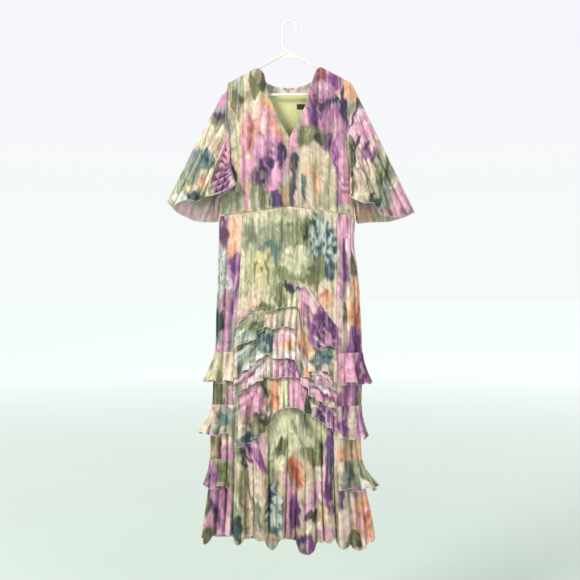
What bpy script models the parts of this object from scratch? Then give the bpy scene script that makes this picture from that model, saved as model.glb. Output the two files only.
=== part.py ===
"""A chiffon maxi dress with flutter sleeves and flounces, on a tubular plastic hanger.

Sizes are in millimetres. The origin is the inside top of the hanger's hook, where a nail or a
rail holds it. +X is the viewer's right, the front faces -Y and +Z is up. Left and right are as
seen from the front. Each piece of cloth is the inner face of its wall, thickened outwards.
"""

import math
from collections import namedtuple

import bmesh
import bpy
from mathutils import Vector

MM = 0.001

# Cloth and seams.
WALL = 1.5
SEAM_GAP = 0.3
WAIST_GAP = 0.5
LABEL_WALL = 0.8

# Hanger.
TUBE_RADIUS = 4.5
HOOK_RADIUS = 3.6
HOOK_INSIDE = 18.1
HOOK_STEM_FOOT = -77.0
HOOK_TIP_ANGLE = -22.0
ARM_MIDDLE = -6.0
ARM_TOP = -92.0
ARM_SLOPE = 0.565
ARM_REACH = 183.5
BAR_HEIGHT = -226.0
END_RADIUS = 14.0
WEB_UNDERSIDE = -113.0
WEB_THICKNESS = 4.0

# The shoulder lines lie on the arms, the right one a little puffed.
SHOULDER_RISE = 5.5
RIGHT_SLOPE = 0.53
OVER_TUBE = 3.15

# Waist seam, highest at the centre and sloping down to each side.
WAIST_CENTRE = -575.0
WAIST_SLOPE = 0.135

# Rows of each bodice piece from shoulder to waist, closer where the cloth bends over the tube.
# They are also closer near the underarm, where the armhole turns from the front to the back.
BODICE_ROWS = (0, 0.002, 0.007, 0.02, 0.06, 0.14, 0.24, 0.36, 0.48, 0.55, 0.585, 0.6, 0.72, 0.86, 1)
UNDERARM_ROW = 11
FRONT_COLUMNS = 9
BACK_COLUMNS = 8

# The lining hangs inside the back, close at its top and a little slack below.
LINING_COLUMNS = 7
LINING_ROWS = 7
LINING_REACH = 128.0
LINING_TOP = -222.0
LINING_INSET = 2.4
LINING_SLACK = 5.0

# Steps of the ring of skirt panels, and of what is sewn on them.
SKIRT_FRONT_STEPS = 26
SKIRT_SIDE_STEPS = 10
SKIRT_BACK_STEPS = 22
SKIRT_ROWS = 15
FLOUNCE_ROWS = 3
SLEEVE_ROWS = 6

# Steps of the armhole longer than this are halved for the sleeve. UNDERARM_SPAN is the share
# of a turn to each side of the underarm over which the sleeve folds back on the bodice.
LONG_STEP = 22.0
UNDERARM_SPAN = 0.16

# Flounces lie this far off the skirt at their seams, clear of the slopes of its folds.
LAID_GAP = 0.65

# How much of a flounce lies under the one above, and how far its hem stands off.
FLOUNCE_LAP = 22.0
LEAST_STEP = 11.0
FRONT_FLARE = 13.0
FLARE_HEIGHT = 62.0
FLARE_BEND = 0.8
FRONT_WAVE = 3.5
FRONT_WAVES = 6

Body = namedtuple("Body", "height left right front back")
BODY = (
    Body(-1660, -282, 270, 57, 60),
    Body(-1576, -272, 260, 53, 56),
    Body(-1520, -263, 251, 50, 53),
    Body(-1418, -251, 231, 46, 49),
    Body(-1294, -248, 221, 43, 46),
    Body(-1124, -239, 221, 40, 42),
    Body(-984, -231, 219, 38, 39),
    Body(-876, -227, 214, 36, 37),
    Body(-767, -224, 206, 34, 34),
    Body(-680, -220, 197, 31, 31),
    Body(-609, -218, 199, 29, 29),
    Body(-510, -208, 193, 31, 30),
    Body(-440, -197, 186, 32, 31),
    Body(-400, -203, 193, 31, 30),
    Body(-345, -222, 212, 28, 28),
    Body(-290, -235, 225, 24, 25),
    Body(-200, -245, 235, 15, 17),
    Body(-90, -245, 235, 12, 14),
)

# Bodice edges from shoulder (down 0) to waist (down 1).
Edge = namedtuple("Edge", "down left left_height right right_height")
OUTER_EDGE = (
    Edge(0.00, -189, -190, 188, -189),
    Edge(0.14, -194, -240, 189, -236),
    Edge(0.24, -194, -290, 185, -290),
    Edge(0.36, -188, -345, 178, -345),
    Edge(0.48, -184, -398, 175, -396),
    Edge(0.60, -197, -440, 186, -440),
    Edge(0.70, -205, -486, 190, -486),
    Edge(0.85, -211, -545, 195, -545),
    Edge(1.00, -218, -609, 199, -609),
)
FRONT_NECK = (
    Edge(0.00, -108, -144, 97, -141),
    Edge(0.02, -96, -148, 88, -145),
    Edge(0.06, -79, -168, 77, -162),
    Edge(0.14, -72, -205, 67, -193),
    Edge(0.24, -62, -238, 56, -230),
    Edge(0.36, -43, -276, 43, -272),
    Edge(0.48, -28, -316, 26, -310),
    Edge(0.60, -1.5, -363, -1.5, -363),
    Edge(0.70, -1.5, -410, -1.5, -410),
    Edge(0.85, -1.5, -490, -1.5, -490),
    Edge(1.00, -1.5, -575, -1.5, -575),
)
BACK_NECK = (
    Edge(0.00, -108, -144, 97, -141),
    Edge(0.02, -99, -153, 91, -149),
    Edge(0.06, -83, -176, 79, -170),
    Edge(0.14, -48, -196, 47, -192),
    Edge(0.24, -1.5, -204, -1.5, -204),
    Edge(0.36, -1.5, -262, -1.5, -262),
    Edge(0.48, -1.5, -322, -1.5, -322),
    Edge(0.60, -1.5, -382, -1.5, -382),
    Edge(0.70, -1.5, -430, -1.5, -430),
    Edge(0.85, -1.5, -502, -1.5, -502),
    Edge(1.00, -1.5, -575, -1.5, -575),
)

# Vertical seams between the front panel and the sides, mirrored in depth at the back.
Princess = namedtuple("Princess", "height left right")
PRINCESS = (
    Princess(-1660, -184, 152),
    Princess(-1294, -174, 143),
    Princess(-984, -168, 142),
    Princess(-800, -155, 145),
    Princess(-600, -146, 148),
)

# Around the skirt: 0 to 1 is the front, 1 to 2 the right side, 2 to 3 the back, 3 to 4 the left.
Hem = namedtuple("Hem", "around height")
HEM = (
    Hem(0.00, -1590),
    Hem(0.08, -1606),
    Hem(0.15, -1582),
    Hem(0.24, -1580),
    Hem(0.33, -1594),
    Hem(0.44, -1586),
    Hem(0.54, -1592),
    Hem(0.61, -1618),
    Hem(0.70, -1628),
    Hem(0.79, -1612),
    Hem(0.88, -1600),
    Hem(1.00, -1604),
    Hem(1.12, -1622),
    Hem(1.22, -1614),
    Hem(1.36, -1634),
    Hem(1.50, -1606),
    Hem(1.70, -1626),
    Hem(2.00, -1634),
    Hem(2.30, -1645),
    Hem(2.60, -1650),
    Hem(3.00, -1630),
    Hem(3.30, -1612),
    Hem(3.50, -1602),
    Hem(3.66, -1610),
    Hem(3.80, -1582),
    Hem(4.00, -1590),
)

# Folds of the skirt: depth is at the hem, positive for a ridge; width is along `around`.
Fold = namedtuple("Fold", "around width depth start")
SKIRT_FOLDS = (
    Fold(0.00, 0.050, 14, 0.30),
    Fold(0.09, 0.040, 10, 0.55),
    Fold(0.17, 0.035, -13, 0.50),
    Fold(0.29, 0.050, 15, 0.45),
    Fold(0.40, 0.045, -16, 0.55),
    Fold(0.50, 0.045, 11, 0.50),
    Fold(0.57, 0.035, -12, 0.60),
    Fold(0.68, 0.060, 19, 0.45),
    Fold(0.80, 0.040, -13, 0.55),
    Fold(0.89, 0.045, 13, 0.40),
    Fold(1.00, 0.060, 10, 0.30),
    Fold(1.18, 0.060, -9, 0.35),
    Fold(1.34, 0.060, 12, 0.40),
    Fold(1.50, 0.060, 5, 0.60),
    Fold(1.68, 0.060, -8, 0.45),
    Fold(1.84, 0.060, 10, 0.40),
    Fold(2.00, 0.050, 8, 0.35),
    Fold(2.12, 0.045, -11, 0.45),
    Fold(2.24, 0.050, 15, 0.40),
    Fold(2.36, 0.045, -12, 0.50),
    Fold(2.48, 0.050, 13, 0.45),
    Fold(2.60, 0.045, -14, 0.40),
    Fold(2.73, 0.055, 16, 0.45),
    Fold(2.87, 0.045, -10, 0.50),
    Fold(3.00, 0.050, 9, 0.35),
    Fold(3.17, 0.060, -9, 0.40),
    Fold(3.33, 0.060, 11, 0.45),
    Fold(3.50, 0.060, 5, 0.60),
    Fold(3.66, 0.060, 10, 0.35),
    Fold(3.82, 0.060, -11, 0.40),
    Fold(4.00, 0.050, 14, 0.30),
)
FOLD_GROWTH = 1.5

# Soft vertical folds of the bodice; each fades out before the waist seam.
BodiceFold = namedtuple("BodiceFold", "top waist width depth")
FRONT_BODICE_FOLDS = (
    BodiceFold(-150, -150, 14, 5),
    BodiceFold(-104, -96, 16, -3),
    BodiceFold(96, 92, 16, -3),
    BodiceFold(146, 142, 14, 5),
)
BACK_BODICE_FOLDS = (
    BodiceFold(-140, -130, 18, 4),
    BodiceFold(-70, -62, 20, -4),
    BodiceFold(72, 66, 20, -4),
    BodiceFold(138, 128, 18, 4),
)

# Lines of the five front flounces by distance across: the top seam, then each hem.
FrontLines = namedtuple("FrontLines", "across seam hem_1 hem_2 hem_3 hem_4 hem_5")
FRONT_LINES = (
    FrontLines(-172, -928, -940, -1012, -1094, -1168, -1320),
    FrontLines(-139, -900, -912, -996, -1070, -1140, -1308),
    FrontLines(-111, -872, -910, -992, -1052, -1125, -1293),
    FrontLines(-77, -836, -905, -953, -1034, -1112, -1260),
    FrontLines(-46, -808, -893, -955, -1040, -1104, -1206),
    FrontLines(-6, -800, -887, -950, -1046, -1101, -1182),
    FrontLines(28, -803, -908, -968, -1054, -1107, -1194),
    FrontLines(53, -818, -960, -1026, -1082, -1125, -1209),
    FrontLines(87, -876, -997, -1051, -1104, -1156, -1234),
    FrontLines(115, -909, -1007, -1081, -1119, -1171, -1261),
    FrontLines(148, -946, -1010, -1106, -1128, -1186, -1274),
)

# Side and back flounces: heights at the front end, the side and the centre back.
Tier = namedtuple("Tier", "name seam hem side_flare back_flare waves")
TIERS = (
    Tier("tier_1_left", -1021, -1112, 30, 16, 8),
    Tier("tier_1_right", -1024, -1118, 28, 16, 8),
    Tier("tier_2_left", -1184, -1272, 34, 17, 7),
    Tier("tier_2_right", -1187, -1286, 20, 17, 8),
    Tier("tier_3_left", -1352, -1438, 11, 18, 8),
    Tier("tier_3_right", -1356, -1440, 40, 18, 7),
)
TIER_FRONT_FLARE = 9.0
TIER_WAVE = 5.0
TIER_SWAY = 7.0
TIER_COLOUR = (0.60, 0.46, 0.50)

# Hems of the sleeves, from the outer tip along the front, under the arm and back along the back.
Cuff = namedtuple("Cuff", "turn x y z")
LEFT_CUFF = (
    Cuff(0.00, -381, 0, -556),
    Cuff(0.07, -356, -24, -568),
    Cuff(0.15, -316, -34, -555),
    Cuff(0.22, -284, -42, -560),
    Cuff(0.28, -262, -32, -545),
    Cuff(0.34, -236, -48, -543),
    Cuff(0.40, -198, -54, -529),
    Cuff(0.44, -164, -54, -508),
    Cuff(0.47, -184, -44, -524),
    Cuff(0.50, -229, -22, -560),
    Cuff(0.56, -231, 16, -604),
    Cuff(0.64, -224, 38, -615),
    Cuff(0.72, -250, 44, -617),
    Cuff(0.80, -286, 38, -616),
    Cuff(0.88, -320, 28, -605),
    Cuff(0.95, -352, 15, -588),
    Cuff(1.00, -381, 0, -556),
)
RIGHT_CUFF = (
    Cuff(0.00, 386, 0, -591),
    Cuff(0.07, 360, -22, -600),
    Cuff(0.15, 324, -36, -607),
    Cuff(0.22, 290, -46, -606),
    Cuff(0.28, 268, -34, -578),
    Cuff(0.34, 256, -52, -552),
    Cuff(0.40, 222, -58, -552),
    Cuff(0.44, 178, -54, -528),
    Cuff(0.47, 186, -44, -545),
    Cuff(0.50, 212, -22, -572),
    Cuff(0.56, 213, 16, -610),
    Cuff(0.64, 214, 38, -622),
    Cuff(0.74, 256, 44, -617),
    Cuff(0.84, 298, 36, -617),
    Cuff(0.93, 346, 20, -607),
    Cuff(1.00, 386, 0, -591),
)

# The label lies on one facet of the lining's first row, by shares of that facet.
LABEL_COLUMN = 2
LABEL_ACROSS = (0.08, 0.92)
LABEL_DOWN = (0.58, 0.88)


# ---------------------------------------------------------------- reading tables


def mix(a, b, t):
    """The value a share t of the way from a to b."""
    return a + (b - a) * t


def read(rows, column, at):
    """Read a column at a value of the table's first column, smoothly and without overshoot."""
    keys = [row[0] for row in rows]
    values = [getattr(row, column) for row in rows]
    at = min(max(at, keys[0]), keys[-1])
    last = len(keys) - 2
    i = 0
    while i < last and at > keys[i + 1]:
        i += 1
    steps = [keys[k + 1] - keys[k] for k in range(len(keys) - 1)]
    slopes = [(values[k + 1] - values[k]) / steps[k] for k in range(len(steps))]

    def bend(k):
        if k == 0 or k == len(slopes):
            return slopes[min(k, len(slopes) - 1)]
        if slopes[k - 1] * slopes[k] <= 0:
            return 0.0
        return 2 * slopes[k - 1] * slopes[k] / (slopes[k - 1] + slopes[k])

    t = (at - keys[i]) / steps[i]
    rise = (values[i + 1] - values[i]) * (3 - 2 * t) * t * t
    start = bend(i) * steps[i] * t * (1 - t) ** 2
    end = bend(i + 1) * steps[i] * t * t * (t - 1)
    return values[i] + rise + start + end


def bump(distance, width):
    """A soft hump, 1 at its middle and close to 0 at two widths from it."""
    return math.exp(-((distance / width) ** 2))


# ---------------------------------------------------------------- Blender helpers


def clear_scene():
    for old in list(bpy.data.objects):
        bpy.data.objects.remove(old, do_unlink=True)


def collection(name):
    made = bpy.data.collections.new(name)
    bpy.context.scene.collection.children.link(made)
    return made


def material(name, colour, roughness):
    made = bpy.data.materials.new(name)
    made.use_nodes = True
    shader = made.node_tree.nodes["Principled BSDF"]
    shader.inputs["Base Color"].default_value = (*colour, 1)
    shader.inputs["Roughness"].default_value = roughness
    shader.inputs["Metallic"].default_value = 0
    made.diffuse_color = (*colour, 1)
    return made


def cloth(name, columns, rows, place, colour, wall=WALL, tube=False):
    """A sheet over a grid of parameters, thickened outwards.

    Columns run left to right as seen from outside and rows from top to bottom; place(column,
    row) gives a point in millimetres. A tube's last column falls on its first and is welded.
    """
    across = len(columns) - 1
    down = len(rows) - 1
    sheet = bmesh.new()
    bmesh.ops.create_grid(sheet, x_segments=across, y_segments=down, size=0.5)
    for vertex in sheet.verts:
        column = columns[round((vertex.co.x + 0.5) * across)]
        row = rows[round((0.5 - vertex.co.y) * down)]
        vertex.co = place(column, row) * MM
    if tube:
        bmesh.ops.remove_doubles(sheet, verts=sheet.verts, dist=0.00001)
    mesh = bpy.data.meshes.new(name)
    sheet.to_mesh(mesh)
    sheet.free()
    mesh.shade_smooth()
    mesh.materials.append(material(name + "_cloth", colour, 0.85))
    piece = bpy.data.objects.new(name, mesh)
    PARTS.objects.link(piece)
    thicken = piece.modifiers.new("wall", "SOLIDIFY")
    thicken.thickness = wall * MM
    thicken.offset = 1
    return piece


def steps(first, last, count):
    return [mix(first, last, i / count) for i in range(count + 1)]


# ---------------------------------------------------------------- hanger


def rounded_corner(before, corner, after, radius, count):
    """Points of the arc that rounds a corner of a path in the XZ plane."""
    inward = (before - corner).normalized()
    outward = (after - corner).normalized()
    half_angle = inward.angle(outward) / 2
    middle = corner + (inward + outward).normalized() * radius / math.sin(half_angle)
    reach = radius / math.tan(half_angle)
    start = corner + inward * reach - middle
    end = corner + outward * reach - middle
    arc = [start.normalized().slerp(end.normalized(), i / count) for i in range(count + 1)]
    return [middle + spoke * radius for spoke in arc]


def tube_mesh(name, points, radius, closed):
    """A round tube along points, as a closed mesh with welded caps."""
    curve = bpy.data.curves.new(name, "CURVE")
    curve.dimensions = "3D"
    curve.bevel_depth = radius * MM
    curve.bevel_resolution = 2
    curve.use_fill_caps = not closed
    path = curve.splines.new("POLY")
    path.points.add(len(points) - 1)
    for spot, point in zip(path.points, points):
        spot.co = (*(point * MM), 1)
    path.use_cyclic_u = closed
    return curve_to_mesh(name, curve)


def curve_to_mesh(name, curve):
    maker = bpy.data.objects.new(name + "_curve", curve)
    bpy.context.scene.collection.objects.link(maker)
    bpy.context.view_layer.update()
    evaluated = maker.evaluated_get(bpy.context.evaluated_depsgraph_get())
    mesh = bpy.data.meshes.new_from_object(evaluated)
    mesh.name = name
    welded = bmesh.new()
    welded.from_mesh(mesh)
    bmesh.ops.remove_doubles(welded, verts=welded.verts, dist=0.00001)
    bmesh.ops.recalc_face_normals(welded, faces=welded.faces)
    welded.to_mesh(mesh)
    welded.free()
    bpy.data.objects.remove(maker, do_unlink=True)
    return mesh


def arm_height(x):
    """Height of the middle of a hanger arm."""
    return ARM_TOP - ARM_SLOPE * abs(x - ARM_MIDDLE)


def hanger_ring():
    """The arms and the bar: one closed tube with rounded ends."""
    peak = Vector((ARM_MIDDLE, 0, ARM_TOP))
    ends = []
    for side in (-1, 1):
        x = ARM_MIDDLE + side * ARM_REACH
        upper = Vector((x, 0, arm_height(x)))
        lower = Vector((x, 0, BAR_HEIGHT))
        bar = Vector((ARM_MIDDLE, 0, BAR_HEIGHT))
        shoulder = rounded_corner(peak, upper, lower, END_RADIUS, 4)
        heel = rounded_corner(upper, lower, bar, END_RADIUS, 5)
        ends.append(shoulder + heel)
    left, right = ends
    points = [peak] + left + right[::-1]
    return tube_mesh("hanger", points, TUBE_RADIUS, closed=True)


def hanger_hook():
    """The hook: an arc over the nail, a straight stem and a short lean into the neck."""
    reach = HOOK_INSIDE + HOOK_RADIUS
    foot = Vector((ARM_MIDDLE, 0, ARM_TOP - 1))
    bend = Vector((-reach, 0, HOOK_STEM_FOOT))
    arc = []
    for angle in steps(180, HOOK_TIP_ANGLE, 14):
        turn = math.radians(angle)
        arc.append(Vector((reach * math.cos(turn), 0, reach * math.sin(turn) - HOOK_INSIDE)))
    lean = rounded_corner(foot, bend, arc[0], 8, 3)
    return tube_mesh("hook", [foot] + lean + arc, HOOK_RADIUS, closed=False)


def hanger_web():
    """The flat web under the hook, between the arms."""
    half = (ARM_TOP - WEB_UNDERSIDE) / ARM_SLOPE
    curve = bpy.data.curves.new("web", "CURVE")
    curve.dimensions = "2D"
    curve.fill_mode = "BOTH"
    curve.extrude = WEB_THICKNESS / 2 * MM
    path = curve.splines.new("POLY")
    corners = ((-half, WEB_UNDERSIDE), (half, WEB_UNDERSIDE), (0, ARM_TOP))
    path.points.add(len(corners) - 1)
    for spot, (x, z) in zip(path.points, corners):
        spot.co = ((ARM_MIDDLE + x) * MM, z * MM, 0, 1)
    path.use_cyclic_u = True
    mesh = curve_to_mesh("web", curve)
    for vertex in mesh.vertices:
        vertex.co = (vertex.co.x, -vertex.co.z, vertex.co.y)
    return mesh


def make_hanger():
    mesh = hanger_ring()
    mesh.materials.append(material("hanger_plastic", (0.86, 0.86, 0.82), 0.35))
    hanger = bpy.data.objects.new("hanger", mesh)
    PARTS.objects.link(hanger)
    for name, joined in (("hanger_hook_shape", hanger_hook()), ("hanger_web_shape", hanger_web())):
        shape = bpy.data.objects.new(name, joined)
        CUTTERS.objects.link(shape)
        shape.hide_render = True
        shape.display_type = "WIRE"
        union = hanger.modifiers.new(name, "BOOLEAN")
        union.operation = "UNION"
        union.object = shape


# ---------------------------------------------------------------- the form of the body


def waist_height(x):
    return WAIST_CENTRE - WAIST_SLOPE * abs(x)


def shoulder_height(x):
    """Height of the inner face of the cloth along the shoulder line."""
    top = ARM_TOP + SHOULDER_RISE
    if x < ARM_MIDDLE:
        return top + ARM_SLOPE * (x - ARM_MIDDLE)
    return top - RIGHT_SLOPE * (x - ARM_MIDDLE)


def body_middle(z):
    left = read(BODY, "left", z)
    right = read(BODY, "right", z)
    return (left + right) / 2, (right - left) / 2


def body_depth(z, facing):
    """Depth of the front (facing > 0) or of the back at a height."""
    return read(BODY, "front" if facing > 0 else "back", z)


# ---------------------------------------------------------------- bodice


def bodice_depth(x, z, share, front):
    """How far the cloth lies from the middle plane; share is the flattening towards the sides."""
    far = body_depth(z, 1 if front else -1) * share
    near = OVER_TUBE * math.sqrt(max(shoulder_height(x) - z, 0))
    if near <= 0 or far <= 0:
        return SEAM_GAP / 2
    hung = near * far / (near**4 + far**4) ** 0.25
    return max(hung, SEAM_GAP / 2)


def bodice_fold(x, z, front):
    """Outward push of the bodice's own folds."""
    rows = FRONT_BODICE_FOLDS if front else BACK_BODICE_FOLDS
    down = (z - BAR_HEIGHT) / (WAIST_CENTRE - BAR_HEIGHT)
    if down <= 0 or down >= 1:
        return 0.0
    strength = math.sin(math.pi * down)
    middles = ((mix(row.top, row.waist, down), row) for row in rows)
    return strength * sum(row.depth * bump(x - middle, row.width) for middle, row in middles)


def bodice_point(side, front, inward, down):
    """A point of the inner face; inward is 0 at the armhole and side seam, 1 at the centre."""
    neck = FRONT_NECK if front else BACK_NECK
    outer_z = read(OUTER_EDGE, side + "_height", down)
    inner_x = read(neck, side, down)
    inner_z = read(neck, side + "_height", down)
    middle, half = body_middle(outer_z)
    inner_middle, inner_half = body_middle(inner_z)
    sign = -1 if side == "left" else 1
    if down >= BODICE_ROWS[UNDERARM_ROW]:
        outer_x = middle + sign * half
    else:
        outer_x = read(OUTER_EDGE, side, down)
    outer_angle = math.asin(max(-1, min(1, (outer_x - middle) / half)))
    inner_angle = math.asin((inner_x - inner_middle) / inner_half)
    angle = mix(outer_angle, inner_angle, inward)
    x = mix(middle, inner_middle, inward) + mix(half, inner_half, inward) * math.sin(angle)
    share = (x - outer_x) / (inner_x - outer_x)
    z = mix(outer_z, inner_z, share)
    last_line = mix(OUTER_EDGE[-1].left_height, WAIST_CENTRE, share)
    z += down**4 * (waist_height(x) + WAIST_GAP / 2 - last_line)
    if down == 0:
        z = shoulder_height(x)
    y = bodice_depth(x, z, math.cos(angle), front) + bodice_fold(x, z, front) * math.cos(angle)
    if inward == 1 and down >= (0.6 if front else 0.24):
        x += sign * SEAM_GAP / 2
    return Vector((x, -y if front else y, z))


def make_bodice():
    pieces = (
        ("bodice_front_left", "left", True, (0.62, 0.52, 0.40)),
        ("bodice_front_right", "right", True, (0.48, 0.26, 0.42)),
        ("bodice_back_right", "right", False, (0.50, 0.38, 0.40)),
        ("bodice_back_left", "left", False, (0.55, 0.48, 0.38)),
    )
    for name, side, front, colour in pieces:
        count = FRONT_COLUMNS if front else BACK_COLUMNS
        starts_outside = (side == "left") == front
        columns = steps(0, 1, count) if starts_outside else steps(1, 0, count)

        def place(inward, down, side=side, front=front):
            return bodice_point(side, front, inward, down)

        cloth(name, columns, BODICE_ROWS, place, colour)


def lining_point(x, down):
    """A point of the lining's face towards the neck opening; down is 0 at its top."""
    z = mix(LINING_TOP, waist_height(x) + WALL, down)
    middle, half = body_middle(z)
    share = math.sqrt(1 - ((x - middle) / half) ** 2)
    inset = LINING_INSET + LINING_SLACK * min(1, 3 * down)
    return Vector((x, bodice_depth(x, z, share, False) - inset, z))


def make_lining():
    columns = steps(LINING_REACH, -LINING_REACH, LINING_COLUMNS)
    colour = (0.52, 0.52, 0.18)
    cloth("back_lining", columns, steps(0, 1, LINING_ROWS), lining_point, colour)


def make_label():
    """A woven label on the side of the lining that faces the neck opening."""
    edges = steps(LINING_REACH, -LINING_REACH, LINING_COLUMNS)[LABEL_COLUMN : LABEL_COLUMN + 2]
    row = 1 / LINING_ROWS

    def place(across, down):
        upper = lining_point(edges[0], 0).lerp(lining_point(edges[1], 0), across)
        lower = lining_point(edges[0], row).lerp(lining_point(edges[1], row), across)
        return upper.lerp(lower, down) - Vector((0, LABEL_WALL + SEAM_GAP, 0))

    columns = steps(*LABEL_ACROSS, 2)
    rows = steps(*LABEL_DOWN, 1)
    cloth("neck_label", columns, rows, place, (0.03, 0.028, 0.025), wall=LABEL_WALL)


# ---------------------------------------------------------------- sleeves


def armhole_edge(side, front, down):
    """A point of a bodice piece's armhole edge, and the way out of its surface there."""
    here = bodice_point(side, front, 0, down)
    across = bodice_point(side, front, 0.02, down) - here
    above = bodice_point(side, front, 0, max(down - 0.002, 0))
    below = bodice_point(side, front, 0, down + 0.002)
    out = across.cross(above - below).normalized()
    if (side == "left") != front:
        out.negate()
    return here, out


def seam_reach(turn):
    """Distance of the sleeve's inner face from the bodice's.

    It is a wall and a gap, and a wall more round the underarm, where the sleeve hangs with its
    outer face towards the bodice.
    """
    near = 1 - abs(turn - 0.5) / UNDERARM_SPAN
    return WALL * (1 + min(1, max(0, 2 * near))) + SEAM_GAP


def armhole_ring(side):
    """(turn, point) round the armhole just outside its edge, from the shoulder and back."""
    rows = BODICE_ROWS[: UNDERARM_ROW + 1]
    ring = []
    for down in rows:
        edges = [armhole_edge(side, True, down)]
        if down in (rows[0], rows[-1]):
            edges.append(armhole_edge(side, False, down))
        ring.append((0.5 * down / rows[-1], edges))
    for down in reversed(rows[:-1]):
        edges = [armhole_edge(side, False, down)]
        if down == rows[0]:
            edges.append(armhole_edge(side, True, down))
        ring.append((1 - 0.5 * down / rows[-1], edges))
    placed = []
    for turn, edges in ring:
        here = sum((edge[0] for edge in edges), Vector()) / len(edges)
        out = sum((edge[1] for edge in edges), Vector()).normalized()
        placed.append((turn, here + out * seam_reach(turn)))
    return placed


def make_sleeve(side, cuff, colour):
    ring = armhole_ring(side)
    starts = [ring[0]]
    for (turn, start), (next_turn, next_start) in zip(ring, ring[1:]):
        if (next_start - start).length > LONG_STEP:
            starts.append(((turn + next_turn) / 2, (start + next_start) / 2))
        starts.append((next_turn, next_start))

    def place(index, down):
        turn, start = starts[index]
        end = Vector([read(cuff, axis, turn) for axis in ("x", "y", "z")])
        return start.lerp(end, down)

    order = list(range(len(starts)))
    if side == "right":
        order.reverse()
    cloth("sleeve_" + side, order, steps(0, 1, SLEEVE_ROWS), place, colour, tube=True)


# ---------------------------------------------------------------- skirt


def ring_columns(first, last):
    """The grid columns between two places around the skirt."""
    counts = (SKIRT_FRONT_STEPS, SKIRT_SIDE_STEPS, SKIRT_BACK_STEPS, SKIRT_SIDE_STEPS)
    columns = []
    for panel, count in enumerate(counts):
        columns += [panel + i / count for i in range(count)]
    columns.append(4)
    return [column for column in columns if first - 1e-6 <= column <= last + 1e-6]


def ring_angle(around, z):
    """Angle round the body of a place around the skirt, 0 at the front and 90 at the right."""
    middle, half = body_middle(z)
    left = math.asin((read(PRINCESS, "left", z) - middle) / half)
    right = math.asin((read(PRINCESS, "right", z) - middle) / half)
    marks = (left, right, math.pi - right, math.pi - left, 2 * math.pi + left)
    panel = min(int(around), 3)
    return mix(marks[panel], marks[panel + 1], around - panel)


def fold_depth(around, down):
    """Outward push of the skirt's folds, growing from where each starts to the hem."""
    total = 0.0
    for fold in SKIRT_FOLDS:
        if down > fold.start:
            grown = ((down - fold.start) / (1 - fold.start)) ** FOLD_GROWTH
            total += fold.depth * grown * bump(around - fold.around, fold.width)
    return total


def skirt_point(around, down, out=0.0):
    """A point of the skirt's inner face, moved out by `out`; down is 0 at the waist."""
    angle = ring_angle(around, WAIST_CENTRE)
    middle, half = body_middle(WAIST_CENTRE)
    top = waist_height(middle + half * math.sin(angle)) - WAIST_GAP / 2
    z = mix(top, read(HEM, "height", around), down)
    angle = ring_angle(around, z)
    middle, half = body_middle(z)
    depth = body_depth(z, math.cos(angle))
    normal = Vector((math.sin(angle) / half, -math.cos(angle) / depth, 0)).normalized()
    place = Vector((middle + half * math.sin(angle), -depth * math.cos(angle), z))
    return place + normal * (fold_depth(around, down) + out)


def seam_inset(around, down, step):
    """How far a panel's edge keeps back: half the gap, and more in a trough."""
    before = skirt_point(around - 0.03 if around > 0 else 3.97, down)
    here = skirt_point(around, down)
    after = skirt_point(around + 0.03 if around < 4 else 0.03, down)
    outside = skirt_point(around, down, 1.0) - here
    hollow = ((before + after) / 2 - here).dot(outside)
    bend = (here - before).angle(after - here)
    extra = WALL * math.tan(bend / 2) if hollow > 0 else 0.0
    return (skirt_point(around + step, down) - here).normalized() * (SEAM_GAP / 2 + extra)


def make_skirt():
    panels = (
        ("skirt_front", 0, (0.50, 0.50, 0.38)),
        ("skirt_side_right", 1, (0.52, 0.34, 0.40)),
        ("skirt_back", 2, (0.48, 0.42, 0.42)),
        ("skirt_side_left", 3, (0.50, 0.36, 0.42)),
    )
    for name, first, colour in panels:

        def place(around, down, first=first):
            point = skirt_point(around, down)
            if around == first:
                point += seam_inset(around, down, 0.02)
            if around == first + 1:
                point += seam_inset(around, down, -0.02)
            return point

        cloth(name, ring_columns(first, first + 1), steps(0, 1, SKIRT_ROWS), place, colour)


# ---------------------------------------------------------------- flounces


def skirt_share(around, z):
    """Share of the way down the skirt at which a height lies."""
    top = skirt_point(around, 0).z
    return (z - top) / (skirt_point(around, 1).z - top)


def laid_on_skirt(around, z, out):
    """A point on the skirt's flat facets at a height, moved out of its inner face by `out`."""
    row = skirt_share(around, z) * SKIRT_ROWS
    whole = min(int(row), SKIRT_ROWS - 1)
    upper = skirt_point(around, whole / SKIRT_ROWS, out)
    lower = skirt_point(around, (whole + 1) / SKIRT_ROWS, out)
    return upper.lerp(lower, row - whole)


def front_seam_and_hem(number, x):
    """Seam and hem heights of a front flounce; a lower one starts under the hem above it."""
    hem = read(FRONT_LINES, "hem_%d" % number, x)
    if number == 1:
        return read(FRONT_LINES, "seam", x), hem
    seam_above, hem_above = front_seam_and_hem(number - 1, x)
    return min(hem_above + FLOUNCE_LAP, seam_above - LEAST_STEP), hem


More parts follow.
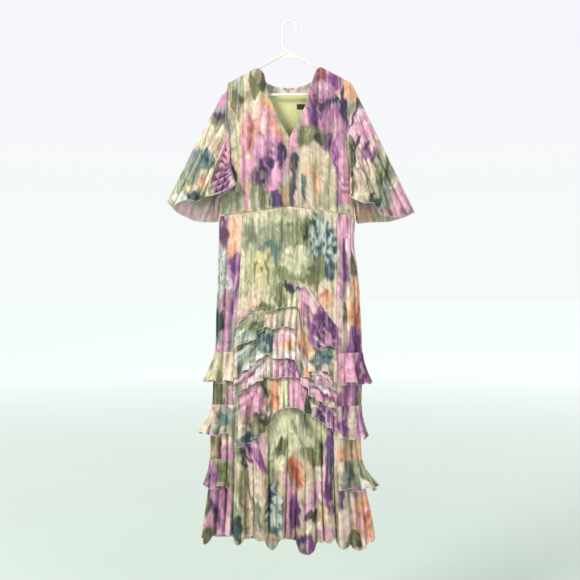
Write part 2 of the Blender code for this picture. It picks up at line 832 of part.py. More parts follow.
def make_front_flounces():
    colours = (
        (0.60, 0.50, 0.45),
        (0.58, 0.58, 0.48),
        (0.62, 0.40, 0.36),
        (0.50, 0.28, 0.50),
        (0.60, 0.48, 0.46),
    )
    for number, colour in enumerate(colours, 1):

        def place(around, down, number=number):
            x = skirt_point(around, 0.4).x
            seam, hem = front_seam_and_hem(number, x)
            height = seam - hem
            flare = FRONT_FLARE * min(1, height / FLARE_HEIGHT)
            wave = math.sin(2 * math.pi * (FRONT_WAVES * around + 0.37 * number))
            wave *= FRONT_WAVE * min(1, height / FLARE_HEIGHT)
            out = WALL + LAID_GAP + flare * down**FLARE_BEND + wave * down**3
            return laid_on_skirt(around, seam - height * down, out)

        edge = 0.5 / SKIRT_FRONT_STEPS
        columns = [edge] + ring_columns(0, 1)[1:-1] + [1 - edge]
        name = "front_flounce_%d" % number
        cloth(name, columns, steps(0, 1, FLOUNCE_ROWS), place, colour)


def make_tiers():
    for tier in TIERS:
        left = tier.name.endswith("left")
        first, last = (2.5, 4.0) if left else (1.0, 2.5)

        def place(around, down, tier=tier, left=left):
            from_front = 4.0 - around if left else around - 1.0
            beside = bump(from_front - 0.5, 0.34)
            behind = max(0, min(1, (from_front - 0.5) * 1.6))
            flare = mix(TIER_FRONT_FLARE, tier.back_flare, behind)
            flare = mix(flare, tier.side_flare, beside)
            turn = 2 * math.pi * from_front * tier.waves / 1.5
            wave = TIER_WAVE * math.sin(turn + 0.8 * math.sin(3.1 * from_front))
            out = WALL + LAID_GAP + flare * down**1.4 + wave * down**2
            sway = TIER_SWAY * math.sin(0.5 * turn + tier.seam) * down
            z = mix(tier.seam, tier.hem, down) + sway
            return laid_on_skirt(around, z, out) + back_gap(around, left)

        cloth(tier.name, ring_columns(first, last), steps(0, 1, FLOUNCE_ROWS), place, TIER_COLOUR)


def back_gap(around, left):
    """Half the seam gap at the centre back, where the two halves of a tier meet."""
    if around != 2.5:
        return Vector((0, 0, 0))
    return Vector((-SEAM_GAP / 2 if left else SEAM_GAP / 2, 0, 0))


# ---------------------------------------------------------------- build

clear_scene()
PARTS = collection("maxi dress on a hanger")
CUTTERS = collection("cutters")
make_hanger()
make_bodice()
make_lining()
make_label()
make_sleeve("left", LEFT_CUFF, (0.55, 0.55, 0.42))
make_sleeve("right", RIGHT_CUFF, (0.58, 0.40, 0.46))
make_skirt()
make_front_flounces()
make_tiers()
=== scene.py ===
"""A chiffon maxi dress with flutter sleeves and flounces, hanging on a tubular plastic hanger.

Lengths in this file are millimetres unless a name ends in _M; a mesh is turned to metres when
it is made. The origin is the inside top of the hook, +X is the viewer's right, the front faces
-Y and +Z is up. Left and right are as seen from the front.
"""

import math

import bpy
import numpy as np
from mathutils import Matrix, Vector


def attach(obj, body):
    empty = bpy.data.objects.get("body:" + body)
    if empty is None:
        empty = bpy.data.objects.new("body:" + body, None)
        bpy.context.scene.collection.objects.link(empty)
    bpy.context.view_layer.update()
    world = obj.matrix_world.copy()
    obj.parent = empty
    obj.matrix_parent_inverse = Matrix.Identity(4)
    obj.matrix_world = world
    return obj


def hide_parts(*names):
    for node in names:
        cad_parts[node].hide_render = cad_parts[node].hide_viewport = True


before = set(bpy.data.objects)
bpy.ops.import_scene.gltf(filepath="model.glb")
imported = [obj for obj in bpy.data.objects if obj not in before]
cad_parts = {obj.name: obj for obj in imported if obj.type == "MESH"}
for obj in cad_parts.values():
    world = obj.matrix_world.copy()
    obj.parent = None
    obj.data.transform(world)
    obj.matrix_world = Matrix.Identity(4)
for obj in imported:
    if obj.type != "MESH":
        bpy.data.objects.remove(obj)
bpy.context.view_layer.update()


# ------------------------------------------------------------------ studio
# A plain pale floor in soft light: one large lamp at the front left, a weaker one at the right
# and a pale sky all round. The camera looks straight at the middle of the dress.


def linear(code):
    """Linear RGB of an sRGB hex colour."""
    parts = [int(code[i : i + 2], 16) / 255 for i in (0, 2, 4)]
    return tuple(p / 12.92 if p <= 0.04045 else ((p + 0.055) / 1.055) ** 2.4 for p in parts)


def node(tree, kind, inputs=None, **settings):
    """Add a node. Each input is a value or the output that feeds it."""
    made = tree.nodes.new("ShaderNode" + kind)
    for name, value in settings.items():
        setattr(made, name, value)
    for name, value in (inputs or {}).items():
        if isinstance(value, bpy.types.NodeSocket):
            tree.links.new(value, made.inputs[name])
        else:
            made.inputs[name].default_value = value
    return made


def new_material(name):
    """A material with an empty tree but for its output."""
    made = bpy.data.materials.new(name)
    made.use_nodes = True
    made.node_tree.nodes.clear()
    return made, made.node_tree


CAMERA_PLACE_M = (0.0, -2.6, -0.831)
CAMERA_LENS = 52.06
FLOOR_HEIGHT_M = -2.02
FLOOR_HALF_M = 90.0
SKY_LIGHT = 0.42

camera_data = bpy.data.cameras.new("camera")
camera_data.lens = CAMERA_LENS
camera_data.sensor_width = 36
camera_data.clip_end = 100
camera = bpy.data.objects.new("camera", camera_data)
camera.location = CAMERA_PLACE_M
camera.rotation_euler = (math.radians(90), 0, 0)
bpy.context.scene.collection.objects.link(camera)
bpy.context.scene.camera = camera
bpy.context.scene.view_settings.view_transform = "Standard"

# Name, place and size in metres, power in watts, colour.
LAMPS = (
    ("key_lamp", (-2.5, -2.3, 1.7), 1.2, 150.0, "FFFBFE"),
    ("fill_lamp", (2.0, -3.2, 0.2), 2.4, 30.0, "F4F6FF"),
)
LAMP_AIM_M = (0, 0, -0.9)
for name, place, size, power, tint in LAMPS:
    lamp_data = bpy.data.lights.new(name, "AREA")
    lamp_data.size = size
    lamp_data.energy = power
    lamp_data.color = linear(tint)
    lamp = bpy.data.objects.new(name, lamp_data)
    lamp.location = place
    aim = Vector(LAMP_AIM_M) - Vector(place)
    lamp.rotation_euler = aim.to_track_quat("-Z", "Y").to_euler()
    bpy.context.scene.collection.objects.link(lamp)

# A broad soft lamp far behind and above lights the floor evenly and the back of the dress.
OVERHEAD_STRENGTH = 2.45
OVERHEAD_SPREAD = 30
OVERHEAD_AIM = (-0.25, -0.75, -1.0)
sun_data = bpy.data.lights.new("overhead_lamp", "SUN")
sun_data.energy = OVERHEAD_STRENGTH
sun_data.angle = math.radians(OVERHEAD_SPREAD)
sun = bpy.data.objects.new("overhead_lamp", sun_data)
sun.rotation_euler = Vector(OVERHEAD_AIM).to_track_quat("-Z", "Y").to_euler()
bpy.context.scene.collection.objects.link(sun)

world = bpy.data.worlds.new("pale_studio")
world.use_nodes = True
sky = world.node_tree
sky.nodes.clear()
sky_place = node(sky, "TexCoord")
sky_parts = node(sky, "SeparateXYZ", {0: sky_place.outputs["Generated"]})
rise = {"Value": sky_parts.outputs["Z"], "From Min": -0.02, "From Max": 0.34}
sky_rise = node(sky, "MapRange", rise)
sky_tint = node(
    sky,
    "Mix",
    {0: sky_rise.outputs[0], 6: (*linear("F5FCF8"), 1), 7: (*linear("F8F4FD"), 1)},
    data_type="RGBA",
)
# The sky is seen a little brighter than it lights, so the folds keep their shade.
sky_ray = node(sky, "LightPath")
power = {"Value": sky_ray.outputs["Is Camera Ray"], "To Min": SKY_LIGHT, "To Max": 1.0}
sky_power = node(sky, "MapRange", power)
glow = {"Color": sky_tint.outputs[2], "Strength": sky_power.outputs[0]}
sky_glow = node(sky, "Background", glow)
node(sky, "OutputWorld", {"Surface": sky_glow.outputs[0]})
bpy.context.scene.world = world

# Floor: smooth matt paint, so nothing of the dress is mirrored in it.
floor_mesh = bpy.data.meshes.new("studio_floor")
half = FLOOR_HALF_M
floor_corners = [(-half, -half, 0), (half, -half, 0), (half, half, 0), (-half, half, 0)]
floor_mesh.from_pydata(floor_corners, [], [(0, 1, 2, 3)])
floor = bpy.data.objects.new("studio_floor", floor_mesh)
floor.location = (0, 0, FLOOR_HEIGHT_M)
bpy.context.scene.collection.objects.link(floor)
floor_paint, tree = new_material("matt_studio_paint")
floor_place = node(tree, "TexCoord")
floor_mottle = node(tree, "TexNoise", {"Vector": floor_place.outputs["Object"], "Scale": 1.3})
floor_painted_shade_near = node(
    tree,
    "Mix",
    {0: floor_mottle.outputs["Fac"], 6: (*linear("B8C7BA"), 1), 7: (*linear("BFCEC1"), 1)},
    data_type="RGBA",
)
# Painted shade and light: the paint is darker near the dress, standing in for the shade under it, and
# pales towards the far end to meet the bright sky at the horizon.
floor_reach = node(tree, "VectorMath", {0: floor_place.outputs["Object"]}, operation="LENGTH")
far = {"Value": floor_reach.outputs["Value"], "From Min": 1.0, "From Max": 9.0}
floor_far = node(tree, "MapRange", far)
floor_tint = node(
    tree,
    "Mix",
    {0: floor_far.outputs[0], 6: floor_painted_shade_near.outputs[2], 7: (*linear("F4FEF7"), 1)},
    data_type="RGBA",
)
floor_shader = node(tree, "BsdfPrincipled", {"Base Color": floor_tint.outputs[2], "Roughness": 0.9})
node(tree, "OutputMaterial", {"Surface": floor_shader.outputs[0]})
floor_mesh.materials.append(floor_paint)


# ------------------------------------------------------------------ hanger
# One moulding of ivory white polypropylene: a tube for the arms and bar, a thinner hook, and a
# flat web under it. The CAD solid has its shape, so only its finish is made here.

hanger_plastic, tree = new_material("moulded_polypropylene")
# Polypropylene is waxy: half gloss, faintly uneven from the mould, a little light goes into it.
place = node(tree, "TexCoord")
flow = node(tree, "TexNoise", {"Vector": place.outputs["Object"], "Scale": 38.0, "Detail": 2.0})
grain = node(tree, "TexNoise", {"Vector": place.outputs["Object"], "Scale": 900.0, "Detail": 1.0})
tint = node(
    tree,
    "Mix",
    {0: flow.outputs["Fac"], 6: (*linear("E9E5D3"), 1), 7: (*linear("F0EDE0"), 1)},
    data_type="RGBA",
)
gloss = node(tree, "MapRange", {"Value": flow.outputs["Fac"], "To Min": 0.26, "To Max": 0.4})
skin = node(tree, "Bump", {"Height": grain.outputs["Fac"], "Strength": 0.12, "Distance": 0.0002})
shader = node(
    tree,
    "BsdfPrincipled",
    {
        "Base Color": tint.outputs[2],
        "Roughness": gloss.outputs[0],
        "Normal": skin.outputs[0],
        "IOR": 1.49,
        "Subsurface Weight": 0.15,
        "Subsurface Scale": 0.004,
    },
)
node(tree, "OutputMaterial", {"Surface": shader.outputs[0]})
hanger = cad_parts["hanger"]
if not hanger.material_slots:
    hanger.data.materials.append(hanger_plastic)
for slot in hanger.material_slots:
    slot.material = hanger_plastic


# ------------------------------------------------------------------ bodice
# Two fronts and two backs of printed crinkle chiffon, cut with a V neck. They are joined at the
# shoulders, where they lie over the hanger's arms, at the sides and down both centres.

BODY_NAME = "root"
MM = 0.001
CLOTH_WALL = 0.8
# How far the shell's inner face lies outside that of the solid.
FACE_INSET = 0.35
SEAM_GAP = 0.3
WAIST_GAP = 0.1
WAIST_CENTRE = -575.0
WAIST_SLOPE = 0.135
# The hanger's arms, and how the shoulders rise above them and curve over the tube.
ARM_MIDDLE = -6.0
ARM_TOP = -92.0
LEFT_SLOPE = 0.565
RIGHT_SLOPE = 0.53
SHOULDER_RISE = 5.5
OVER_TUBE = 3.15
# Shares of the way down at the underarm and where the fronts and the backs meet.
UNDERARM = 0.6
FRONT_CLOSED = 0.6
BACK_CLOSED = 0.24


def rows_of(text):
    """Rows of numbers and words; a semicolon or a new line parts one row from the next."""
    rows = [line.split() for line in text.replace(";", "\n").splitlines()]
    plain = [[word if word[-1].isalpha() else float(word) for word in row] for row in rows]
    return [row for row in plain if row]


# The form of the body: height, left, right, front, back.
BODY = rows_of("""
-1660 -282 270 57 60; -1576 -272 260 53 56; -1520 -263 251 50 53; -1418 -251 231 46 49;
-1294 -248 221 43 46; -1124 -239 221 40 42; -984 -231 219 38 39; -876 -227 214 36 37;
-767 -224 206 34 34; -680 -220 197 31 31; -609 -218 199 29 29; -510 -208 193 31 30; -440 -197 186 32 31;
-400 -203 193 31 30; -345 -222 212 28 28; -290 -235 225 24 25; -200 -245 235 15 17; -90 -245 235 12 14
""")

# Edges from shoulder to waist: share of the way down, then x and z at the left and the right.
OUTER_EDGE = rows_of("""
0.0 -189 -190 188 -189; 0.14 -194 -240 189 -236; 0.24 -194 -290 185 -290; 0.36 -188 -345 178 -345;
0.48 -184 -398 175 -396; 0.6 -197 -440 186 -440; 0.7 -205 -486 190 -486; 0.85 -211 -545 195 -545;
1.0 -218 -609 199 -609
""")
FRONT_NECK = rows_of("""
0.0 -108 -144 97 -141; 0.02 -96 -148 88 -145; 0.06 -79 -168 77 -162; 0.14 -72 -205 67 -193;
0.24 -62 -238 56 -230; 0.36 -43 -276 43 -272; 0.48 -27 -316 25 -310; 0.54 -14.5 -340 12 -338;
0.585 -4 -357.5 1.5 -357; 0.6 -1.5 -364 -1.5 -364; 0.7 -1.5 -410 -1.5 -410; 0.85 -1.5 -490 -1.5 -490;
1.0 -1.5 -575 -1.5 -575
""")
BACK_NECK = rows_of("""
0.0 -108 -144 97 -141; 0.02 -99 -153 91 -149; 0.06 -83 -176 79 -170; 0.14 -48 -196 47 -192;
0.24 -1.5 -204 -1.5 -204; 0.36 -1.5 -262 -1.5 -262; 0.48 -1.5 -322 -1.5 -322; 0.6 -1.5 -382 -1.5 -382;
0.7 -1.5 -430 -1.5 -430; 0.85 -1.5 -502 -1.5 -502; 1.0 -1.5 -575 -1.5 -575
""")

# Soft folds, ridges with a positive depth and troughs with a negative one:
# x and z of the start, x and z of the end, width, depth.
FRONT_CREASES = rows_of("""
-163 -158 -152 -430 11 3.4; -128 -165 -118 -470 9 -2.6; -96 -160 -104 -330 9 2.4;
-62 -262 -72 -566 11 -2.6; -32 -372 -44 -560 9 2.4; -140 -372 -143 -572 6 -3.0;
-176 -262 -158 -420 8 -2.4; -92 -440 -100 -575 8 2.2; 18 -388 26 -556 9 -2.2; 46 -268 58 -520 10 2.6;
84 -168 82 -408 9 -2.8; 112 -160 106 -352 9 2.4; 134 -252 118 -548 8 -3.0; 158 -196 150 -452 9 2.6;
96 -430 88 -572 8 2.2; 148 -420 146 -572 6 -2.8; 152 -492 186 -500 4 2.6; 152 -503 188 -511 4 -2.8;
152 -514 190 -522 4 2.6; 154 -525 190 -533 4 -2.6
""")
BACK_CREASES = rows_of("""
-150 -170 -136 -520 14 3.6; -104 -168 -92 -452 11 -3.0; -60 -212 -56 -566 12 2.6;
-26 -240 -34 -420 9 -2.0; 30 -230 38 -500 11 2.4; 74 -180 66 -566 12 -3.2; 112 -166 122 -400 11 2.8;
156 -190 140 -540 12 -2.8; -176 -250 -164 -560 9 -2.4; 172 -240 166 -430 9 2.6
""")
SEED = 4100


def mix(a, b, t):
    """The value a share t of the way from a to b."""
    return a + (b - a) * t


def soft_step(low, high, at):
    """0 below low, 1 above high and a smooth rise between them."""
    t = np.clip((at - low) / (high - low), 0, 1)
    return t * t * (3 - 2 * t)


def read(table, column, at):
    """Read a column at values of the table's first column, smoothly and without overshoot."""
    keys = np.array([row[0] for row in table], float)
    values = np.array([row[column] for row in table], float)
    at = np.clip(at, keys[0], keys[-1])
    i = np.clip(np.searchsorted(keys, at) - 1, 0, len(keys) - 2)
    step = np.diff(keys)
    slope = np.diff(values) / step
    product = slope[:-1] * slope[1:]
    total = np.where(product > 0, slope[:-1] + slope[1:], 1)
    inner = np.where(product > 0, 2 * product / total, 0)
    bend = np.concatenate([slope[:1], inner, slope[-1:]])
    t = (at - keys[i]) / step[i]
    rise = (values[i + 1] - values[i]) * (3 - 2 * t) * t * t
    start = bend[i] * step[i] * t * (1 - t) ** 2
    end = bend[i + 1] * step[i] * t * t * (t - 1)
    return values[i] + rise + start + end


def ripple(across, down, width, length, seed, loop=256):
    """Uneven soft waves from -1 to 1, `width` from crest to crest and `length` along the crest."""
    lattice = np.random.default_rng(seed).uniform(-1, 1, (256, loop))
    i, u = np.divmod(np.asarray(across, float) / width, 1)
    j, v = np.divmod(np.asarray(down, float) / length, 1)
    i = i.astype(int) % loop
    j = j.astype(int) % 256
    u = u * u * (3 - 2 * u)
    v = v * v * (3 - 2 * v)
    right = (i + 1) % loop
    below = (j + 1) % 256
    upper = mix(lattice[j, i], lattice[j, right], u)
    lower = mix(lattice[below, i], lattice[below, right], u)
    return mix(upper, lower, v)


def creases(table, across, height):
    """Outward push of listed folds; each fades at its ends and is soft across."""
    push = np.zeros(np.broadcast(across, height).shape)
    for x0, z0, x1, z1, width, depth in table:
        run = math.hypot(x1 - x0, z1 - z0)
        ux, uz = (x1 - x0) / run, (z1 - z0) / run
        along = ((across - x0) * ux + (height - z0) * uz) / run
        beside = (across - x0) * uz - (height - z0) * ux
        fade = np.sin(math.pi * np.clip(along, 0, 1)) ** 0.9
        push += depth * fade * np.exp(-((beside / width) ** 2))
    return push


def body_middle(z):
    """Middle and half the width of the body at a height."""
    left = read(BODY, 1, z)
    right = read(BODY, 2, z)
    return (left + right) / 2, (right - left) / 2


def waist_height(x):
    """Height of the waist seam, which drops to both sides."""
    return WAIST_CENTRE - WAIST_SLOPE * np.abs(x)


def shoulder_height(x):
    """Height of the shoulder seam, which slopes as the hanger's arms do."""
    top = ARM_TOP + SHOULDER_RISE
    slope = np.where(x < ARM_MIDDLE, LEFT_SLOPE, -RIGHT_SLOPE)
    return top + slope * (x - ARM_MIDDLE)


def bodice_depth(x, z, share, front):
    """Distance of the cloth from the middle plane; share is the flattening at the sides."""
    far = read(BODY, 3 if front else 4, z) * share
    near = OVER_TUBE * np.sqrt(np.maximum(shoulder_height(x) - z, 0))
    safe_near = np.maximum(near, 1e-6)
    safe_far = np.maximum(far, 1e-6)
    hung = safe_near * safe_far / (safe_near**4 + safe_far**4) ** 0.25
    return np.maximum(hung, SEAM_GAP / 2)


def bodice_point(side, front, inward, down):
    """Points of the inner face; inward is 0 at armhole and side seam, 1 at the centre."""
    neck = FRONT_NECK if front else BACK_NECK
    x_column, z_column = (1, 2) if side == "left" else (3, 4)
    sign = -1 if side == "left" else 1
    outer_z = read(OUTER_EDGE, z_column, down)
    inner_x = read(neck, x_column, down)
    inner_z = read(neck, z_column, down)
    middle, half = body_middle(outer_z)
    inner_middle, inner_half = body_middle(inner_z)
    outer_x = read(OUTER_EDGE, x_column, down)
    outer_x = np.where(down >= UNDERARM, middle + sign * half, outer_x)
    outer_angle = np.arcsin(np.clip((outer_x - middle) / half, -1, 1))
    inner_angle = np.arcsin((inner_x - inner_middle) / inner_half)
    angle = mix(outer_angle, inner_angle, inward)
    x = mix(middle, inner_middle, inward) + mix(half, inner_half, inward) * np.sin(angle)
    share = (x - outer_x) / (inner_x - outer_x)
    z = mix(outer_z, inner_z, share)
    last_line = mix(OUTER_EDGE[-1][2], WAIST_CENTRE, share)
    z = z + down**4 * (waist_height(x) + WAIST_GAP / 2 - last_line)
    z = np.where(down <= 0, shoulder_height(x), z)
    y = bodice_depth(x, z, np.cos(angle), front)
    closed = FRONT_CLOSED if front else BACK_CLOSED
    x = x + np.where((inward >= 1) & (down >= closed), sign * SEAM_GAP / 2, 0)
    return np.stack([x, -y if front else y, z], axis=-1)


def outward(points, closed=False):
    """Unit normals of a grid of points towards its outer face."""
    if closed:
        ring = np.concatenate([points[:, -2:-1], points, points[:, 1:2]], axis=1)
        across = ring[:, 2:] - ring[:, :-2]
    else:
        across = np.gradient(points, axis=1)
    down = np.gradient(points, axis=0)
    normal = np.cross(down, across)
    return normal / np.maximum(np.linalg.norm(normal, axis=2, keepdims=True), 1e-9)


def pushed(points, push, closed=False):
    """The grid moved out along its normals."""
    return points + outward(points, closed) * push[..., None]


def make_cloth(name, points, dye, cut, materials, closed=False, wall=CLOTH_WALL):
    """A thin shell over a grid of points: rows run down, columns left to right from outside.

    dye is the colour and cut the place on the flat cloth of each point. The last column of a
    closed grid falls on its first, and its faces join up with it.
    """
    rows, columns = points.shape[:2]
    kept = columns - 1 if closed else columns
    row, column = np.meshgrid(np.arange(rows - 1), np.arange(columns - 1), indexing="ij")
    corner_rows = np.stack([row, row + 1, row + 1, row], axis=-1)
    corner_columns = np.stack([column, column, column + 1, column + 1], axis=-1)
    faces = (corner_rows * kept + corner_columns % kept).reshape(-1, 4)
    corners = (corner_rows * columns + corner_columns).reshape(-1)
    mesh = bpy.data.meshes.new(name)
    mesh.from_pydata((points[:, :kept].reshape(-1, 3) * MM).tolist(), [], faces.tolist())
    mesh.shade_smooth()
    rgba = np.ones((rows * columns, 4))
    rgba[:, :3] = dye.reshape(-1, 3)
    colours = mesh.color_attributes.new("dye", "FLOAT_COLOR", "CORNER")
    colours.data.foreach_set("color", rgba[corners].ravel())
    flat = np.zeros((rows * columns, 3))
    flat[:, :2] = cut.reshape(-1, 2) * MM
    places = mesh.attributes.new("cut", "FLOAT_VECTOR", "CORNER")
    places.data.foreach_set("vector", flat[corners].ravel())
    for material in materials:
        mesh.materials.append(material)
    piece = bpy.data.objects.new(name, mesh)
    bpy.context.scene.collection.objects.link(piece)
    thicken = piece.modifiers.new("wall", "SOLIDIFY")
    thicken.thickness = wall * MM
    thicken.offset = 1
    thicken.material_offset = len(materials) - 1
    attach(piece, BODY_NAME)
    return piece


# Dyes of the print. Greens and creams make the ground, the blossoms are pink, orchid and coral.
DYE_CODES = dict(
    cream="E4D3BD", ecru="D4BEA0", lime="D4D1AE", pear="E0DEBA", sage="A5AC90", fern="9AA27A",
    olive="84875F", moss="525440", grey="9CA198", teal="6E8D89", deep_teal="42616A", mist="D0D8CD",
    navy="474066", plum="5F3C66", purple="88528F", orchid="B77CA6", mauve="CC9CB8", dusk="B5849A",
    rose="E4ADAC", pink="E8B4C7", blush="F3CDD4", peach="EBBC99", coral="DC9178", rust="AF6A50",
    butter="E3D49E", white="F7F0EA",
)
DYES = {name: np.array(linear(code)) for name, code in DYE_CODES.items()}
DYE_CONTRAST = 1.28
DEPTH_OF_DYE = 0.93
# How far the dye is drawn out along the warp, and how far the edges of the motifs wander.
DRAWN_BY = 7
WANDERED_BY = 8
FRAYED_BY = 5
TIPS_FRAYED_BY = 8
# Sizes of that unevenness: from one crest to the next across the warp and along it.
DRAWN_FINE = (5.0, 120)
DRAWN_BROAD = (14, 90)
WANDER = (60, 80)
FRAY = (15, 20)
FRAYED_TIPS = (19, 22)
BRUSH = (16, 30)
CLOUDS = (44, 90)
STRIPES = (20, 110)
DASHES = (7.5, 13)
DAPPLES = (19, 40)
YARNS = (3.4, 70)
BLOTS = (10, 12)
SPOTS = (5.5, 7)
FLECKS = (12, 19)
# How strongly the flecks, the yarns and the blots show.
PALE_FLECKS = 0.42
DARK_FLECKS = 0.36
WHITE_YARNS = 0.28
DARK_YARNS = 0.23
BLOT_DEPTH = 0.19
# Rings of petals in a blossom: radius of the ring, petals in it, size of a petal.
PETAL_RINGS = ((0.68, 8, 0.42), (0.36, 6, 0.34), (0.10, 3, 0.26))


def laid(dye, colour, weight):
    """The dye with a colour laid over it."""
    return dye + (DYES[colour] - dye) * np.clip(weight, 0, 1)[..., None]


def paint(across, height, ground, motifs, seed):
    """The print at places on a panel: soft washes and blossoms, drawn out along the warp.

    A motif is a kind, x and z of its middle, half its width and height, its tilt and colours.
    """
    drawn = DRAWN_BY * ripple(across, height, *DRAWN_FINE, seed)
    drawn = drawn + DRAWN_BY * ripple(across, height, *DRAWN_BROAD, seed + 1)
    x = across + WANDERED_BY * ripple(across, height, *WANDER, seed + 2)
    x = x + FRAYED_BY * ripple(across, height, *FRAY, seed + 8)
    z = height + drawn + TIPS_FRAYED_BY * ripple(across, height, *FRAYED_TIPS, seed + 9)
    rough = ripple(x, z, *BRUSH, seed + 3)
    tone = 0.5 + 0.5 * ripple(x, z, *CLOUDS, seed + 4)
    shade = 0.5 + 0.5 * ripple(x, z, *STRIPES, seed + 5)
    dye = np.broadcast_to(DYES[ground[0]], x.shape + (3,))
    dye = laid(dye, ground[1], soft_step(0.38, 0.72, tone))
    dye = laid(dye, ground[2], 0.9 * soft_step(0.58, 0.8, shade))
    for kind, mx, mz, half_width, half_height, tilt, *colours in motifs:
        turn = math.radians(tilt)
        u = ((x - mx) * math.cos(turn) + (z - mz) * math.sin(turn)) / half_width
        v = ((z - mz) * math.cos(turn) - (x - mx) * math.sin(turn)) / half_height
        r = np.hypot(u, v) + 0.12 * rough
        if kind == "wash":
            dye = laid(dye, colours[0], 0.92 * soft_step(1.08, 0.8, r))
        elif kind == "leaf":
            lobes = r + 0.1 * np.cos(3 * np.arctan2(u, v) + mx)
            dye = laid(dye, colours[0], 0.92 * soft_step(1.06, 0.88, lobes))
            side = soft_step(-0.25, 0.35, u + 0.4 * v + 0.3 * rough)
            dye = laid(dye, colours[1], 0.8 * soft_step(1.0, 0.74, lobes) * side)
        elif kind == "dapple":
            inside = soft_step(1.1, 0.85, r)
            dashes = ripple(x, height + 0.35 * drawn, *DASHES, seed + 6)
            dashes = dashes + 0.4 * ripple(x, z, *DAPPLES, seed + 13)
            dye = laid(dye, colours[0], 0.85 * inside)
            dye = laid(dye, colours[1], 0.85 * inside * soft_step(0.08, 0.32, dashes))
            dye = laid(dye, colours[2], 0.7 * inside * soft_step(-0.3, -0.55, dashes))
        elif kind == "bloom":
            body, light, deep, heart = colours
            dye = laid(dye, body, 0.9 * soft_step(1.1, 0.85, r))
            petals = np.random.default_rng(int(seed + 7 * abs(mx) + abs(mz)))
            for ring, count, size in PETAL_RINGS:
                for k in range(count):
                    angle = 2 * math.pi * (k + petals.uniform(-0.3, 0.3)) / count
                    wide, tall, pale = petals.uniform((0.8, 0.8, 0), (1.2, 1.2, 1))
                    du = (u - ring * math.sin(angle)) / (size * wide)
                    dv = (v - ring * math.cos(angle)) / (size * tall)
                    rim = du * math.sin(angle) + dv * math.cos(angle)
                    q = np.hypot(du, dv) + 0.25 * rough
                    base = soft_step(1.1, 0.85, q) * soft_step(0.15, -0.6, rim)
                    dye = laid(dye, deep, 0.8 * base)
                    top = soft_step(1.0, 0.65, q) * soft_step(-0.3, 0.5, rim)
                    dye = laid(dye, light if pale > 0.45 else body, 0.85 * top)
            dye = laid(dye, heart, 0.8 * soft_step(0.24, 0.1, r))
        elif kind == "streak":
            dye = laid(dye, colours[0], np.exp(-u * u) * soft_step(1.1, 0.6, np.abs(v)))
    # Yarns that took less or more dye run the length of the cloth, and the dye pooled in blots.
    yarns = ripple(across, height, *YARNS, seed + 7)
    blots = ripple(x, z, *BLOTS, seed + 10) + 0.75 * ripple(x, z, *SPOTS, seed + 11)
    flecks = ripple(x, z, *FLECKS, seed + 12)
    dye = laid(dye, ground[0], PALE_FLECKS * soft_step(0.45, 0.75, flecks))
    dye = laid(dye, "moss", DARK_FLECKS * soft_step(0.5, 0.85, -flecks))
    dye = laid(dye, "white", WHITE_YARNS * soft_step(0.3, 0.85, yarns))
    dye = dye * (1 - DARK_YARNS * soft_step(0.3, 0.85, -yarns))[..., None]
    return DEPTH_OF_DYE * (dye * (1 + BLOT_DEPTH * blots)[..., None]) ** DYE_CONTRAST


# Pleats of the crinkle, across the warp and along it. Each pattern comes round again after
# 1040 mm or so, which is the way round the skirt.
PLEATS = (6.5, 95)
BROAD_PLEATS = (13, 210)
PLEAT_PATCHES = (65, 120)
PUCKERS = (9, 23)


def crinkle(across, height, seed):
    """Fine pleats along the warp, deep in some places and nearly ironed out in others."""
    fine = ripple(across, height, *PLEATS, seed, loop=160)
    broad = ripple(across, height, *BROAD_PLEATS, seed + 1, loop=80)
    patch = 0.55 + 0.45 * ripple(across, height, *PLEAT_PATCHES, seed + 2, loop=16)
    pucker = ripple(across, height, *PUCKERS, seed + 3, loop=116)
    return fine * patch + 0.5 * broad + 0.4 * pucker


# Painted shade for each millimetre of hollow, and the most painted light a ridge gets and the most
# painted shade a trough gets.
TROUGH_PAINTED_SHADE = 0.17
MOST_PAINTED_RIDGE_LIGHT = 0.16
MOST_PAINTED_TROUGH_SHADE = 0.4


def hollows(points, closed=False):
    """How far each point lies in a trough, in millimetres; negative on a ridge."""
    normal = outward(points, closed)
    hollow = np.zeros(points.shape[:2])
    for reach in (2, 4):
        if closed:
            before, after = points[:, -1 - reach : -1], points[:, 1 : 1 + reach]
            ring = np.concatenate([before, points, after], axis=1)
        else:
            ring = np.pad(points, ((0, 0), (reach, reach), (0, 0)), mode="edge")
        middle = (ring[:, 2 * reach :] + ring[:, : -2 * reach]) / 2
        depth = ((middle - points) * normal).sum(axis=2)
        if not closed:
            depth[:, :reach] = depth[:, reach : reach + 1]
            depth[:, -reach:] = depth[:, -reach - 1 : -reach]
        hollow += depth
    for reach in (1, 2):
        above, below = points[: -2 * reach], points[2 * reach :]
        inner = slice(reach, -reach)
        hollow[inner] += (((above + below) / 2 - points[inner]) * normal[inner]).sum(axis=2)
    return hollow


def with_painted_fold_light_and_shade(dye, points, closed=False):
    """Painted shade darkens the dye in the troughs of the folds, and painted light pales it on their
    ridges.
    """
    hollow = hollows(points, closed)
    return dye * (1 - np.clip(TROUGH_PAINTED_SHADE * hollow, -MOST_PAINTED_RIDGE_LIGHT, MOST_PAINTED_TROUGH_SHADE))[..., None]


